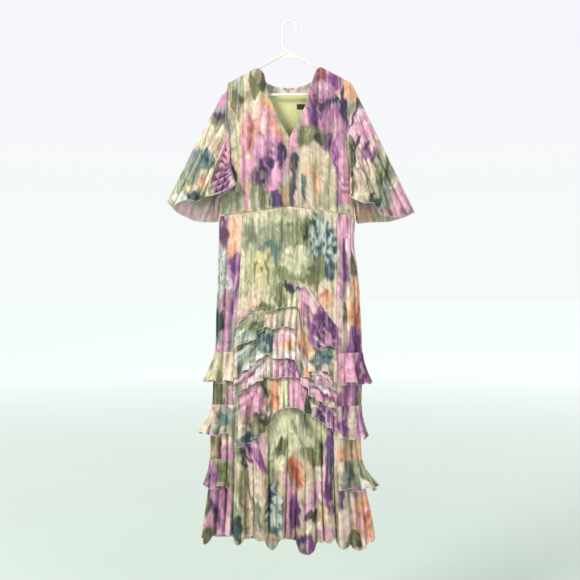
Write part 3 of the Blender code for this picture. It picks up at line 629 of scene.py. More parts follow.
def chiffon(name, ground_tint="", share=0.0):
    """Crinkled polyester chiffon, dyed through; a share of ground_tint pales its wrong side."""
    made, tree = new_material(name)
    dye = node(tree, "Attribute", attribute_name="dye")
    cut = node(tree, "Attribute", attribute_name="cut")
    # Warp streaks every 4 mm or so: the dye runs along the yarns and not across them.
    place = cut.outputs["Vector"]
    warp = node(tree, "VectorMath", {0: place, 1: (260, 9, 1)}, operation="MULTIPLY")
    runs = node(tree, "TexNoise", {"Vector": warp.outputs[0], "Scale": 1.0, "Detail": 3.0})
    span = {"From Min": 0.3, "From Max": 0.7, "To Min": 0.86, "To Max": 1.1}
    depth = node(tree, "MapRange", {"Value": runs.outputs["Fac"], **span})
    toned = node(
        tree,
        "VectorMath",
        {0: dye.outputs["Color"], "Scale": depth.outputs[0]},
        operation="SCALE",
    )
    colour = toned.outputs[0]
    if share > 0:
        tint = (*linear(ground_tint), 1)
        colour = node(tree, "Mix", {0: share, 6: colour, 7: tint}, data_type="RGBA").outputs[2]
    # Crinkle: pressed-in pleats about 6 mm apart that run with the warp.
    pleat = node(tree, "VectorMath", {0: place, 1: (165, 6, 1)}, operation="MULTIPLY")
    pleats = {"Vector": pleat.outputs[0], "Scale": 1.0, "Detail": 4.0, "Roughness": 0.6}
    height = node(tree, "TexNoise", pleats).outputs["Fac"]
    # Plain weave, drawn three times as coarse as the real 0.3 mm so that a close view shows it.
    warp_yarn, weft_yarn = (
        node(tree, "TexWave", {"Vector": place, "Scale": 160.0}, bands_direction=way).outputs["Fac"]
        for way in "XY"
    )
    weave = node(tree, "Math", {0: warp_yarn, 1: weft_yarn}, operation="MULTIPLY")
    pleated = node(tree, "Bump", {"Height": height, "Strength": 0.7, "Distance": 0.0026})
    yarns = {"Height": weave.outputs[0], "Strength": 0.2, "Distance": 0.0002}
    woven = node(tree, "Bump", {**yarns, "Normal": pleated.outputs[0]})
    rough = node(tree, "MapRange", {"Value": height, "To Min": 0.52, "To Max": 0.78})
    shader = node(
        tree,
        "BsdfPrincipled",
        {
            "Base Color": colour,
            "Roughness": rough.outputs[0],
            "Normal": woven.outputs[0],
            "IOR": 1.5,
            "Specular IOR Level": 0.35,
            "Sheen Weight": 0.25,
            "Sheen Roughness": 0.45,
        },
    )
    node(tree, "OutputMaterial", {"Surface": shader.outputs[0]})
    return made


printed_side = chiffon("polyester_crinkle_chiffon")
wrong_side = chiffon("polyester_crinkle_chiffon_wrong_side", "ECE8DA", 0.3)

# Prints of the bodice, x and z as worn.
FRONT_LEFT_PRINT = rows_of("""
wash -150 -205 60 55 0 sage
wash -136 -190 16 40 0 cream
leaf -160 -262 20 46 12 olive moss
wash -118 -280 40 50 0 cream
wash -72 -272 24 56 12 peach
leaf -102 -196 30 42 0 olive moss
wash -72 -322 34 64 14 rose
streak -84 -326 7 60 4 blush
streak -34 -350 8 46 24 coral
wash -128 -356 30 70 0 rose
streak -122 -356 7 60 0 rust
bloom -64 -442 66 88 0 mauve pink purple navy
leaf -92 -476 18 46 0 plum navy
leaf -26 -420 14 50 0 plum navy
wash -40 -478 22 30 0 pink
wash -190 -370 14 110 0 grey
leaf -182 -486 18 40 0 deep_teal moss
wash -141 -470 12 120 0 pink
leaf -104 -548 24 48 6 fern olive
leaf -46 -556 24 26 0 navy purple
wash -184 -560 30 46 0 sage
streak -14 -540 7 40 0 peach
""")
FRONT_RIGHT_PRINT = rows_of("""
wash 100 -196 66 90 0 dusk
streak 112 -190 7 40 0 rose
streak 98 -178 26 56 0 purple
streak 134 -190 10 44 0 purple
streak 88 -180 14 60 0 rust
bloom 92 -268 60 76 0 dusk mauve plum plum
leaf 62 -300 22 56 8 plum purple
leaf 130 -256 28 16 0 navy deep_teal
wash 128 -292 26 26 0 orchid
leaf 166 -262 15 78 0 navy plum
wash 178 -196 16 46 0 peach
streak 44 -292 10 66 14 pink
streak 10 -420 17 110 0 pink
leaf 62 -372 44 44 4 olive fern
wash 88 -378 14 28 0 moss
leaf 118 -372 15 26 0 purple plum
bloom 70 -470 58 92 0 cream lime ecru peach
leaf 44 -512 12 50 0 deep_teal teal
streak 84 -520 9 50 0 peach
leaf 12 -446 18 34 0 moss deep_teal
leaf 2 -530 12 60 0 moss navy
wash 150 -400 24 96 0 mauve
leaf 142 -420 9 64 0 purple orchid
wash 170 -480 32 96 0 pink
leaf 148 -530 8 54 0 purple mauve
wash 110 -560 26 24 0 lime
""")
BACK_PRINT = rows_of("""
bloom -96 -300 78 96 0 orchid pink plum navy
leaf -160 -400 34 62 24 olive moss
wash -60 -430 60 50 0 cream
streak -20 -380 16 150 0 pink
bloom -110 -510 60 66 0 peach blush coral rust
wash -30 -540 40 46 0 teal
bloom 84 -262 64 80 0 cream lime sage butter
leaf 30 -330 28 60 -18 sage olive
wash 150 -330 44 80 0 mauve
bloom 104 -440 76 90 0 purple mauve navy plum
wash 40 -540 50 46 0 sage
leaf 160 -540 30 50 10 olive deep_teal
wash 0 -196 60 22 0 cream
wash -58 -196 14 12 0 olive
wash -6 -204 20 9 0 moss
wash 34 -200 13 10 0 rust
wash 58 -196 12 12 0 olive
""")
BODICE_COLUMNS = 64
BODICE_ROWS = 118
BODICE_CRINKLE = 0.65
WAIST_GATHERS = (9, 300)
WAIST_GATHER_DEPTH = 1.3


def bodice_push(x, z, inward, down, front):
    """Creases, crinkle and gathers at the waist; still along the seams that hold the edge."""
    table = FRONT_CREASES if front else BACK_CREASES
    seed = SEED if front else SEED + 20
    push = creases(table, x, z)
    push = push + BODICE_CRINKLE * crinkle(x, z, seed)
    gathers = soft_step(0.78, 0.97, down)
    push = push + gathers * WAIST_GATHER_DEPTH * ripple(x, z, *WAIST_GATHERS, seed + 1)
    still = soft_step(0.0, 0.05, down) * soft_step(1.0, 0.985, down) * soft_step(0, 0.06, inward)
    return push * still


# Name, side, whether it is a front, print, ground, then width, length and area of the flat piece.
bodice_pieces = (
    ("front_left", "left", True, FRONT_LEFT_PRINT, ("ecru", "lime", "sage"), 0.24, 0.46, 0.084),
    ("front_right", "right", True, FRONT_RIGHT_PRINT, ("cream", "ecru", "sage"), 0.23, 0.46, 0.081),
    ("back_right", "right", False, BACK_PRINT, ("cream", "sage", "mauve"), 0.23, 0.46, 0.088),
    ("back_left", "left", False, BACK_PRINT, ("cream", "lime", "sage"), 0.24, 0.46, 0.090),
)
for number, (name, side, front, motifs, ground, width, length, area) in enumerate(bodice_pieces):
    name = "bodice_" + name
    starts_outside = (side == "left") == front
    inward = np.linspace(0, 1, BODICE_COLUMNS + 1)
    inward = inward if starts_outside else inward[::-1]
    down = np.linspace(0, 1, BODICE_ROWS + 1) ** 1.5
    inward, down = np.meshgrid(inward, down)
    points = bodice_point(side, front, inward, down)
    x, z = points[..., 0], points[..., 2]
    push = FACE_INSET + bodice_push(x, z, inward, down, front)
    placed = pushed(points, push)
    # Painted shade in the troughs of the folds and painted light on their ridges.
    dye = with_painted_fold_light_and_shade(paint(x, z, ground, motifs, SEED + 40 + 10 * number), placed)
    cut = np.stack([x, z], axis=-1)
    piece = make_cloth(name + "_chiffon", placed, dye, cut, (printed_side, wrong_side))
    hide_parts(name)


# ------------------------------------------------------------------ back lining
# The back is lined in plain pongee down to the waist. It shows through the neck, with the seam
# that closes it at the centre, and hangs a little slack below its top edge.

LINING_REACH = 128.0
LINING_TOP = -222.0
LINING_ABOVE_WAIST = 1.5
LINING_COLUMNS = 72
LINING_ROWS = 47
LINING_INSET = 2.4
LINING_SLACK = 5.0
LINING_SEAM_X = -1.5
LINING_SEAM_DEPTH = 1.1
LINING_SEAM_WIDTH = 1.8
LINING_CREASES = rows_of("""
-70 -240 -52 -520 13 -2.0; -30 -300 -26 -560 10 1.8; 46 -236 40 -470 12 2.0; 80 -260 92 -540 12 -2.0
""")

lining_cloth, tree = new_material("polyester_pongee")
# Pongee is plain, close and smooth: even colour, faint slubs across it and a dull sheen.
cut_place = node(tree, "Attribute", attribute_name="cut")
slub_place = node(
    tree,
    "VectorMath",
    {0: cut_place.outputs["Vector"], 1: (30, 700, 1)},
    operation="MULTIPLY",
)
slubs = node(tree, "TexNoise", {"Vector": slub_place.outputs[0], "Scale": 1.0, "Detail": 2.0})
cloud = node(tree, "TexNoise", {"Vector": cut_place.outputs["Vector"], "Scale": 26.0, "Detail": 2.0})
lining_tint = node(
    tree,
    "Mix",
    {0: cloud.outputs["Fac"], 6: (*linear("D0D08C"), 1), 7: (*linear("DEDDA0"), 1)},
    data_type="RGBA",
)
lining_relief = {"Height": slubs.outputs["Fac"], "Strength": 0.2, "Distance": 0.0003}
lining_bump = node(tree, "Bump", lining_relief)
lining_shader = node(
    tree,
    "BsdfPrincipled",
    {
        "Base Color": lining_tint.outputs[2],
        "Roughness": 0.6,
        "Normal": lining_bump.outputs[0],
        "Sheen Weight": 0.15,
    },
)
node(tree, "OutputMaterial", {"Surface": lining_shader.outputs[0]})


def lining_point(x, down):
    """Points of the lining, at a share of the way down to the waist."""
    z = mix(LINING_TOP, waist_height(x) + LINING_ABOVE_WAIST, down)
    middle, half = body_middle(z)
    share = np.sqrt(1 - ((x - middle) / half) ** 2)
    inset = LINING_INSET + LINING_SLACK * np.minimum(1, 3 * down)
    return np.stack([x, bodice_depth(x, z, share, False) - inset, z], axis=-1)


across = np.linspace(LINING_REACH, -LINING_REACH, LINING_COLUMNS + 1)
x, down = np.meshgrid(across, np.linspace(0, 1, LINING_ROWS + 1))
points = lining_point(x, down)
z = points[..., 2]
seam = LINING_SEAM_DEPTH * np.exp(-(((x - LINING_SEAM_X) / LINING_SEAM_WIDTH) ** 2))
push = FACE_INSET + soft_step(0, 0.08, down) * creases(LINING_CREASES, x, z) - seam
dye = np.broadcast_to(np.array(linear("C8CC86")), x.shape + (3,))
cut = np.stack([x, z], axis=-1)
lining = make_cloth("back_lining_pongee", pushed(points, push), dye, cut, (lining_cloth,))
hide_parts("back_lining")


# ------------------------------------------------------------------ neck label
# A small woven satin label, sewn to the lining just below the bar at the right. It is bare.

LABEL_LEFT = 21.2
LABEL_RIGHT = 51.9
LABEL_TOP = -251.6
LABEL_BOTTOM = -266.8
LABEL_STAND = 1.2
LABEL_WALL = 0.5
LABEL_COLUMNS = 16
LABEL_ROWS = 8

label_cloth, tree = new_material("woven_satin_label")
# Satin floats lie across the label, so it has fine level ribs and a soft shine.
cut_place = node(tree, "Attribute", attribute_name="cut")
rib_place = {"Vector": cut_place.outputs["Vector"], "Scale": 250.0}
ribs = node(tree, "TexWave", rib_place, bands_direction="Y")
label_tint = node(
    tree,
    "Mix",
    {0: ribs.outputs["Fac"], 6: (*linear("1E1B19"), 1), 7: (*linear("37322D"), 1)},
    data_type="RGBA",
)
label_bump = node(tree, "Bump", {"Height": ribs.outputs["Fac"], "Strength": 0.3, "Distance": 0.0002})
label_shader = node(
    tree,
    "BsdfPrincipled",
    {"Base Color": label_tint.outputs[2], "Roughness": 0.42, "Normal": label_bump.outputs[0]},
)
node(tree, "OutputMaterial", {"Surface": label_shader.outputs[0]})

across = np.linspace(LABEL_RIGHT, LABEL_LEFT, LABEL_COLUMNS + 1)
x, down = np.meshgrid(across, np.linspace(0, 1, LABEL_ROWS + 1))
z = mix(LABEL_TOP, LABEL_BOTTOM, down)
behind = lining_point(x, (z - LINING_TOP) / (waist_height(x) + LINING_ABOVE_WAIST - LINING_TOP))
points = np.stack([x, behind[..., 1] - LABEL_STAND, z], axis=-1)
dye = np.broadcast_to(np.array(linear("1E1B19")), x.shape + (3,))
cut = np.stack([x, z], axis=-1)
label = make_cloth("neck_label_satin", points, dye, cut, (label_cloth,), wall=LABEL_WALL)
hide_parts("neck_label")


# ------------------------------------------------------------------ sleeves
# Wide flutter sleeves of the same chiffon, each cut as one flared piece with a seam under the
# arm. They are set into the armholes and fall open, with a narrow rolled hem round the cuff.

# The sleeve's top stands off the armhole by the solid's wall and a gap, more under the arm.
CLOTH_GAP = 0.3
CAD_WALL = 1.5
UNDERARM_SPAN = 0.16
SLEEVE_COLUMNS = 230
SLEEVE_ROWS = 84
SLEEVE_ROUND = 620.0
SLEEVE_LENGTH = 480.0
SLEEVE_CRINKLE = 0.5
# In turns: how far the folds and the edge stray, and the width of the edge's lip.
FOLD_SWAY = 0.010
EDGE_SWAY = 0.008
LIP_WIDTH = 0.012
# The lip's share of the step back, and how much of the push is lost in the inner half.
LIP_SHARE = 0.35
INNER_CALM = 0.8

# The cuff from the outer tip along the front, under the arm and back along the back: turn, x, y, z.
LEFT_CUFF = rows_of("""
0.0 -381 0 -556; 0.07 -356 -24 -568; 0.15 -316 -34 -555; 0.22 -284 -42 -560; 0.28 -262 -32 -545;
0.34 -236 -48 -543; 0.4 -198 -54 -529; 0.44 -164 -54 -508; 0.47 -184 -44 -524; 0.5 -229 -22 -560;
0.56 -231 16 -604; 0.64 -224 38 -615; 0.72 -250 44 -617; 0.8 -286 38 -616; 0.88 -320 28 -605;
0.95 -352 15 -588; 1.0 -381 0 -556
""")
RIGHT_CUFF = rows_of("""
0.0 386 0 -591; 0.07 360 -22 -600; 0.15 324 -36 -607; 0.22 290 -46 -606; 0.28 268 -34 -588;
0.34 256 -52 -568; 0.4 222 -58 -566; 0.44 182 -54 -546; 0.47 186 -44 -545; 0.5 212 -22 -572;
0.56 213 16 -610; 0.64 214 38 -622; 0.74 256 44 -617; 0.84 298 36 -617; 0.93 346 20 -607; 1.0 386 0 -591
""")

# Long folds as turn and share down of the start and the end, width in turns, depth.
LEFT_SLEEVE_CREASES = rows_of("""
0.02 0.25 0.035 1.06 0.02 6.0; 0.06 0.2 0.075 1.06 0.01 -4.5; 0.1 0.18 0.11 1.06 0.02 5.0;
0.14 0.3 0.15 1.06 0.011 -5.5; 0.175 0.22 0.185 1.06 0.018 7.0; 0.215 0.34 0.222 1.06 0.011 -5.0;
0.25 0.2 0.255 1.06 0.016 5.0; 0.6 0.2 0.58 1.06 0.022 7.0; 0.645 0.15 0.635 1.06 0.012 -9.0;
0.7 0.25 0.7 1.06 0.022 8.0; 0.755 0.15 0.76 1.06 0.012 -9.0; 0.81 0.2 0.82 1.06 0.022 8.0;
0.865 0.2 0.88 1.06 0.012 -9.0; 0.92 0.28 0.93 1.06 0.018 7.0
""")
RIGHT_SLEEVE_CREASES = rows_of("""
0.03 0.3 0.04 1.06 0.02 6.0; 0.075 0.2 0.085 1.06 0.011 -5.0; 0.115 0.16 0.125 1.06 0.018 6.0;
0.155 0.2 0.165 1.06 0.011 -5.5; 0.195 0.34 0.205 1.06 0.016 6.0; 0.245 0.2 0.24 1.06 0.011 -8.0;
0.285 0.2 0.28 1.06 0.018 6.0; 0.325 0.4 0.32 1.06 0.011 -5.0; 0.365 0.3 0.37 1.06 0.018 7.0;
0.59 0.2 0.58 1.06 0.022 7.0; 0.64 0.16 0.64 1.06 0.012 -9.0; 0.7 0.22 0.7 1.06 0.022 8.0;
0.755 0.15 0.76 1.06 0.012 -9.0; 0.82 0.2 0.82 1.06 0.022 8.0; 0.87 0.2 0.88 1.06 0.012 -8.0;
0.93 0.26 0.93 1.06 0.018 7.0
""")
# Short dents and puffs: around and down the sleeve in millimetres at both ends, width, depth.
LEFT_SLEEVE_DENTS = rows_of("""
118 60 96 150 9 -4.5; 60 60 74 190 12 5.0; 150 90 120 230 10 4.5; 30 150 66 260 10 -4.5;
92 210 122 330 12 5.0; 150 230 140 380 9 -5.0; 20 280 52 400 10 5.0; 470 120 440 300 14 7.0;
540 100 560 280 12 -6.0; 400 160 410 330 12 6.0
""")
RIGHT_SLEEVE_DENTS = rows_of("""
206 30 196 150 8 -9.0; 184 60 172 170 9 5.0; 150 120 122 250 9 -8.0; 118 90 96 200 11 5.0;
232 40 226 130 8 4.5; 70 70 84 210 11 -5.0; 40 110 60 250 11 5.0; 216 170 200 330 11 5.0;
90 240 70 390 10 -5.0; 470 120 440 300 14 7.0; 540 100 560 280 12 -6.0; 400 160 410 330 12 6.0
""")
# Where the front part turns under and the lower part hangs in swags: turn at the top and at the
# cuff, how far it steps back there, swags down the sleeve and their depth.
LEFT_SLEEVE_TURN = (0.305, 0.292, 13.0, 7.5, 7.0)
RIGHT_SLEEVE_TURN = (0.400, 0.412, 11.0, 3.5, 3.0)

# Prints of the sleeves, x and z as worn; the back half has its own.
LEFT_SLEEVE_FRONT = rows_of("""
wash -214 -238 26 34 24 mauve
wash -216 -288 30 26 30 grey
leaf -222 -304 22 24 30 olive plum
wash -190 -330 13 60 -10 grey
wash -224 -362 38 44 25 cream
wash -238 -430 16 90 -18 ecru
streak -250 -470 8 90 -20 cream
wash -262 -424 26 40 24 teal
streak -254 -430 8 30 24 deep_teal
wash -300 -440 26 50 26 grey
wash -322 -492 26 50 26 sage
wash -286 -500 26 40 20 sage
wash -264 -500 12 22 0 peach
leaf -298 -548 20 26 0 deep_teal moss
wash -340 -556 30 24 0 mist
wash -300 -520 20 16 0 cream
wash -198 -430 24 70 -10 pink
wash -204 -492 36 70 -14 mauve
streak -222 -500 5 60 -14 purple
streak -190 -500 5 60 -14 purple
streak -206 -512 4 50 -14 plum
wash -196 -386 16 30 10 pink
""")
LEFT_SLEEVE_BACK = rows_of("""
wash -206 -250 30 60 20 mauve
leaf -214 -330 30 60 20 olive moss
bloom -264 -400 56 66 10 orchid pink plum navy
wash -330 -580 44 44 0 pink
wash -250 -600 50 40 0 blush
wash -250 -520 60 30 0 olive
leaf -306 -500 30 50 10 sage olive
""")
RIGHT_SLEEVE_FRONT = rows_of("""
wash 194 -220 20 44 -15 peach
leaf 214 -272 14 24 -20 moss deep_teal
wash 208 -320 34 60 -14 blush
streak 196 -300 4 50 -20 plum
streak 214 -330 5 50 -26 mauve
wash 222 -350 22 30 -20 pink
wash 250 -380 28 64 -30 pink
wash 262 -372 9 60 -30 cream
wash 200 -390 8 34 -22 plum
wash 236 -396 9 30 -24 plum
streak 252 -436 8 40 -24 purple
wash 232 -440 16 60 -20 orchid
leaf 186 -424 14 56 0 olive moss
wash 232 -490 30 70 -10 cream
streak 240 -500 6 50 -14 lime
wash 296 -500 24 60 -10 grey
leaf 286 -470 12 66 -12 olive moss
wash 324 -480 14 50 -20 cream
wash 350 -540 34 60 -24 pink
leaf 262 -560 22 20 0 moss deep_teal
wash 296 -594 20 16 0 dusk
wash 350 -600 40 12 0 mauve
""")
RIGHT_SLEEVE_BACK = rows_of("""
wash 196 -220 22 50 -15 peach
bloom 246 -360 56 76 -10 cream lime sage butter
wash 300 -450 50 60 0 mauve
leaf 240 -480 30 66 -20 olive moss
wash 236 -600 34 34 0 peach
wash 290 -600 30 34 0 ecru
wash 340 -560 40 60 0 pink
""")


# Small steps across and down the bodice, which give the way its surface faces.
STEP_ACROSS = 0.02
STEP_DOWN = 0.002


def armhole_edge(side, front, down):
    """Points of a bodice piece's armhole edge, and the way out of its surface there."""
    zero = np.zeros_like(down)
    here = bodice_point(side, front, zero, down)
    across = bodice_point(side, front, zero + STEP_ACROSS, down) - here
    above = bodice_point(side, front, zero, np.maximum(down - STEP_DOWN, 0))
    below = bodice_point(side, front, zero, down + STEP_DOWN)
    out = np.cross(across, above - below)
    out /= np.linalg.norm(out, axis=1, keepdims=True)
    return here, -out if (side == "left") != front else out


def armhole_ring(side, turn):
    """Points just outside the armhole's edge; turn goes from the shoulder down the front."""
    turn = turn % 1.0
    front = turn < 0.5
    down = np.where(front, turn, 1 - turn) * 2 * UNDERARM
    front_here, front_out = armhole_edge(side, True, down)
    back_here, back_out = armhole_edge(side, False, down)
    # Round the shoulder and the underarm the way out turns smoothly from front to back.
    to_back = np.where(front, 0.0, 1.0)
    near_top = np.minimum(turn, 1 - turn)
    sign = np.where(front, 1, -1)
    blend = 0.5 - 0.5 * sign * soft_step(0, 0.02, np.minimum(near_top, np.abs(turn - 0.5)))
    here = mix(front_here, back_here, to_back[:, None])
    out = mix(front_out, back_out, blend[:, None])
    out /= np.linalg.norm(out, axis=1, keepdims=True)
    near = 1 - np.abs(turn - 0.5) / UNDERARM_SPAN
    reach = CAD_WALL * (1 + np.clip(2 * near, 0, 1)) + CLOTH_GAP
    return here + out * reach[:, None]


def sleeve_points(side, cuff, turn, down):
    """Points on straight lines from the armhole to the cuff."""
    start = armhole_ring(side, turn[0])
    end = np.stack([read(cuff, axis, turn[0] % 1.0) for axis in (1, 2, 3)], axis=-1)
    return mix(start[None], end[None], down[..., None])


# Sides and radius of the roll, and the share of pale thread over the dye.
HEM_SIDES = 6
HEM_RADIUS = 0.95
THREAD_SHARE = 0.42
hem_thread, tree = new_material("rolled_hem_overlocked")
# The hem is rolled and overcast with pale thread, so it is lighter than the cloth and ribbed.
hem_dye = node(tree, "Attribute", attribute_name="dye")
hem_place = node(tree, "TexCoord")
thread_place = {"Vector": hem_place.outputs["Object"], "Scale": 700.0, "Detail": 1.0}
thread = node(tree, "TexNoise", thread_place).outputs["Fac"]
thread_bump = node(tree, "Bump", {"Height": thread, "Strength": 0.4, "Distance": 0.0004})
thread_tone = node(tree, "MapRange", {"Value": thread, "To Min": 0.85, "To Max": 1.12})
hem_tone = node(
    tree,
    "VectorMath",
    {0: hem_dye.outputs["Color"], "Scale": thread_tone.outputs[0]},
    operation="SCALE",
)
hem_shader = node(
    tree,
    "BsdfPrincipled",
    {
        "Base Color": hem_tone.outputs[0],
        "Roughness": 0.6,
        "Normal": thread_bump.outputs[0],
        "Sheen Weight": 0.2,
    },
)
node(tree, "OutputMaterial", {"Surface": hem_shader.outputs[0]})


def rolled_hem(name, path, out, dye, closed=False):
    """A narrow rolled hem: a soft roll of cloth along a row of points."""
    if closed:
        path, out, dye = path[:-1], out[:-1], dye[:-1]
        along = np.roll(path, -1, axis=0) - np.roll(path, 1, axis=0)
    else:
        along = np.gradient(path, axis=0)
    along /= np.maximum(np.linalg.norm(along, axis=1, keepdims=True), 1e-9)
    side = np.cross(along, out)
    side /= np.maximum(np.linalg.norm(side, axis=1, keepdims=True), 1e-9)
    up = np.cross(side, along)
    angles = np.linspace(0, 2 * math.pi, HEM_SIDES, endpoint=False)
    spokes = [up * math.cos(angle) + side * math.sin(angle) for angle in angles]
    rings = np.stack([path + spoke * HEM_RADIUS for spoke in spokes], axis=1)
    count = len(path)
    faces = []
    for i in range(count if closed else count - 1):
        here, there = i * HEM_SIDES, (i + 1) % count * HEM_SIDES
        for k in range(HEM_SIDES):
            m = (k + 1) % HEM_SIDES
            faces.append((here + k, here + m, there + m, there + k))
    if not closed:
        faces.append(tuple(range(HEM_SIDES))[::-1])
        last = (count - 1) * HEM_SIDES
        faces.append(tuple(last + k for k in range(HEM_SIDES)))
    mesh = bpy.data.meshes.new(name)
    mesh.from_pydata((rings.reshape(-1, 3) * MM).tolist(), [], faces)
    mesh.shade_smooth()
    pale = mix(dye, DYES["white"], THREAD_SHARE)
    rgba = np.ones((count, HEM_SIDES, 4))
    rgba[..., :3] = pale[:, None]
    colours = mesh.color_attributes.new("dye", "FLOAT_COLOR", "POINT")
    colours.data.foreach_set("color", rgba.ravel())
    mesh.materials.append(hem_thread)
    piece = bpy.data.objects.new(name, mesh)
    bpy.context.scene.collection.objects.link(piece)
    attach(piece, BODY_NAME)
    return piece


def hemmed_cloth(name, points, dye, cut, closed=False):
    """A piece of the printed chiffon and the rolled hem along its last row."""
    materials = (printed_side, wrong_side)
    piece = make_cloth(name + "_chiffon", points, dye, cut, materials, closed=closed)
    normal = outward(points, closed)[-1]
    path = points[-1] + normal * CLOTH_WALL / 2
    return piece, rolled_hem(name + "_hem", path, normal, dye[-1], closed=closed)


# Side, cuff, long folds, dents, turn under, and the prints of the front and the back half.
sleeve_pieces = (
    ("left", LEFT_CUFF, LEFT_SLEEVE_CREASES, LEFT_SLEEVE_DENTS, LEFT_SLEEVE_TURN,
     LEFT_SLEEVE_FRONT, LEFT_SLEEVE_BACK),
    ("right", RIGHT_CUFF, RIGHT_SLEEVE_CREASES, RIGHT_SLEEVE_DENTS, RIGHT_SLEEVE_TURN,
     RIGHT_SLEEVE_FRONT, RIGHT_SLEEVE_BACK),
)
for number, sleeve in enumerate(sleeve_pieces):
    side, cuff, folds, dents, turned, front_print, back_print = sleeve
    # The grid starts and ends at the underarm seam.
    turn = np.linspace(-0.5, 0.5, SLEEVE_COLUMNS + 1)
    turn = turn if side == "left" else turn[::-1]
    turn, down = np.meshgrid(turn, np.linspace(0, 1, SLEEVE_ROWS + 1))
    points = sleeve_points(side, cuff, turn, down)
    round_turn = turn % 1.0
    push = np.zeros(turn.shape)
    for t0, d0, t1, d1, width, depth in folds:
        middle = mix(t0, t1, np.clip((down - d0) / (d1 - d0), 0, 1))
        middle = middle + FOLD_SWAY * np.sin(8 * down + 40 * t0)
        grown = soft_step(d0, d0 + 0.5 * (d1 - d0), down)
        grown = grown * (0.7 + 0.3 * np.sin(11 * down + 70 * t0))
        push += depth * grown * np.exp(-(((round_turn - middle) / width) ** 2))
    push += creases(dents, round_turn * SLEEVE_ROUND, down * SLEEVE_LENGTH)
    # The front part turns under at an edge, and the cloth behind it hangs in swags.
    top_turn, cuff_turn, step_back, swags, swag_depth = turned
    edge_turn = mix(top_turn, cuff_turn, down) + EDGE_SWAY * np.sin(8 * down)
    past_edge = round_turn - edge_turn
    under = soft_step(-0.006, 0.012, past_edge) * soft_step(0.475, 0.445, round_turn)
    lip = np.exp(-(((past_edge + LIP_WIDTH) / LIP_WIDTH) ** 2))
    swag = swags * (down + 1.3 * past_edge) + 0.3 * ripple(turn * 90, down * 9, 5, 2, SEED + 59)
    hang = soft_step(0.10, 0.26, down) * soft_step(1.02, 0.9, down)
    push += hang * (LIP_SHARE * step_back * lip - step_back * under)
    push += hang * under * swag_depth * (2 * np.abs(np.cos(math.pi * swag)) - 1)
    across = turn * SLEEVE_ROUND
    along = down * SLEEVE_LENGTH
    push += SLEEVE_CRINKLE * crinkle(across, along, SEED + 60 + 5 * number)
    push *= soft_step(0.0, 0.07, down)
    inner_half = soft_step(0.42, 0.47, round_turn) * soft_step(0.60, 0.54, round_turn)
    push = push * (1 - INNER_CALM * inner_half) + FACE_INSET
    x, z = points[..., 0], points[..., 2]
    front_dye = paint(x, z, ("sage", "cream", "lime"), front_print, SEED + 80 + 10 * number)
    back_dye = paint(x, z, ("cream", "sage", "mauve"), back_print, SEED + 100 + 10 * number)
    at_front = soft_step(-0.01, 0.01, turn) * soft_step(0.5, 0.485, turn)
    dye = mix(back_dye, front_dye, at_front[..., None])
    cut = np.stack([across, -down * SLEEVE_LENGTH], axis=-1)
    placed = pushed(points, push, closed=True)
    placed[:, -1] = placed[:, 0]
    # Painted shade in the troughs of the folds and painted light on their ridges.
    dye = with_painted_fold_light_and_shade(dye, placed, closed=True)
    name = "sleeve_" + side
    piece, hem = hemmed_cloth(name, placed, dye, cut, closed=True)
    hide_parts(name)


# ------------------------------------------------------------------ skirt
# Four long panels, front, back and two sides, gathered a little into the waist seam and widening
# into soft folds at the hem. The seams between them run straight down from the bodice's.

# Vertical seams between the front and the sides: height, left, right.
PRINCESS = rows_of("""
-1660 -184 152; -1294 -174 143; -984 -168 142; -800 -155 145; -600 -146 148
""")
# Around the skirt 0 to 1 is the front, 1 to 2 the right side, 2 to 3 the back, 3 to 4 the left.
HEM = rows_of("""
0.0 -1578; 0.03 -1586; 0.05 -1602; 0.09 -1607; 0.13 -1600; 0.145 -1586; 0.185 -1583; 0.225 -1580;
0.245 -1591; 0.33 -1593; 0.35 -1586; 0.42 -1588; 0.5 -1588; 0.56 -1592; 0.6 -1598; 0.615 -1610;
0.64 -1626; 0.7 -1633; 0.755 -1627; 0.785 -1612; 0.8 -1600; 0.83 -1603; 0.9 -1602; 0.96 -1590;
0.985 -1611; 1.03 -1621; 1.07 -1618; 1.09 -1612; 1.12 -1627; 1.18 -1632; 1.26 -1624; 1.3 -1610;
1.5 -1598; 1.7 -1606; 2.0 -1618; 2.3 -1622; 2.5 -1622; 2.545 -1626; 2.57 -1643; 2.61 -1650; 2.65 -1642;
2.68 -1624; 3.0 -1608; 3.3 -1598; 3.5 -1600; 3.64 -1600; 3.69 -1614; 3.74 -1608; 3.78 -1592; 3.82 -1590;
3.87 -1582; 4.0 -1578
""")
# Folds that open towards the hem: place around, width, depth at the hem, where each starts.
SKIRT_FOLDS = rows_of("""
0.0 0.05 14 0.3; 0.09 0.04 10 0.55; 0.17 0.035 -13 0.5; 0.29 0.05 15 0.45; 0.4 0.045 -16 0.55;
0.5 0.045 11 0.5; 0.57 0.035 -12 0.6; 0.68 0.06 19 0.45; 0.8 0.04 -13 0.55; 0.89 0.045 13 0.4;
1.0 0.06 10 0.3; 1.18 0.06 -9 0.35; 1.34 0.06 12 0.4; 1.5 0.06 5 0.6; 1.68 0.06 -8 0.45;
1.84 0.06 10 0.4; 2.0 0.05 8 0.35; 2.12 0.045 -11 0.45; 2.24 0.05 15 0.4; 2.36 0.045 -12 0.5;
2.48 0.05 13 0.45; 2.6 0.045 -14 0.4; 2.73 0.055 16 0.45; 2.87 0.045 -10 0.5; 3.0 0.05 9 0.35;
3.17 0.06 -9 0.4; 3.33 0.06 11 0.45; 3.5 0.06 5 0.6; 3.66 0.06 10 0.35; 3.82 0.06 -11 0.4;
4.0 0.05 14 0.3
""")
FOLD_GROWTH = 1.5
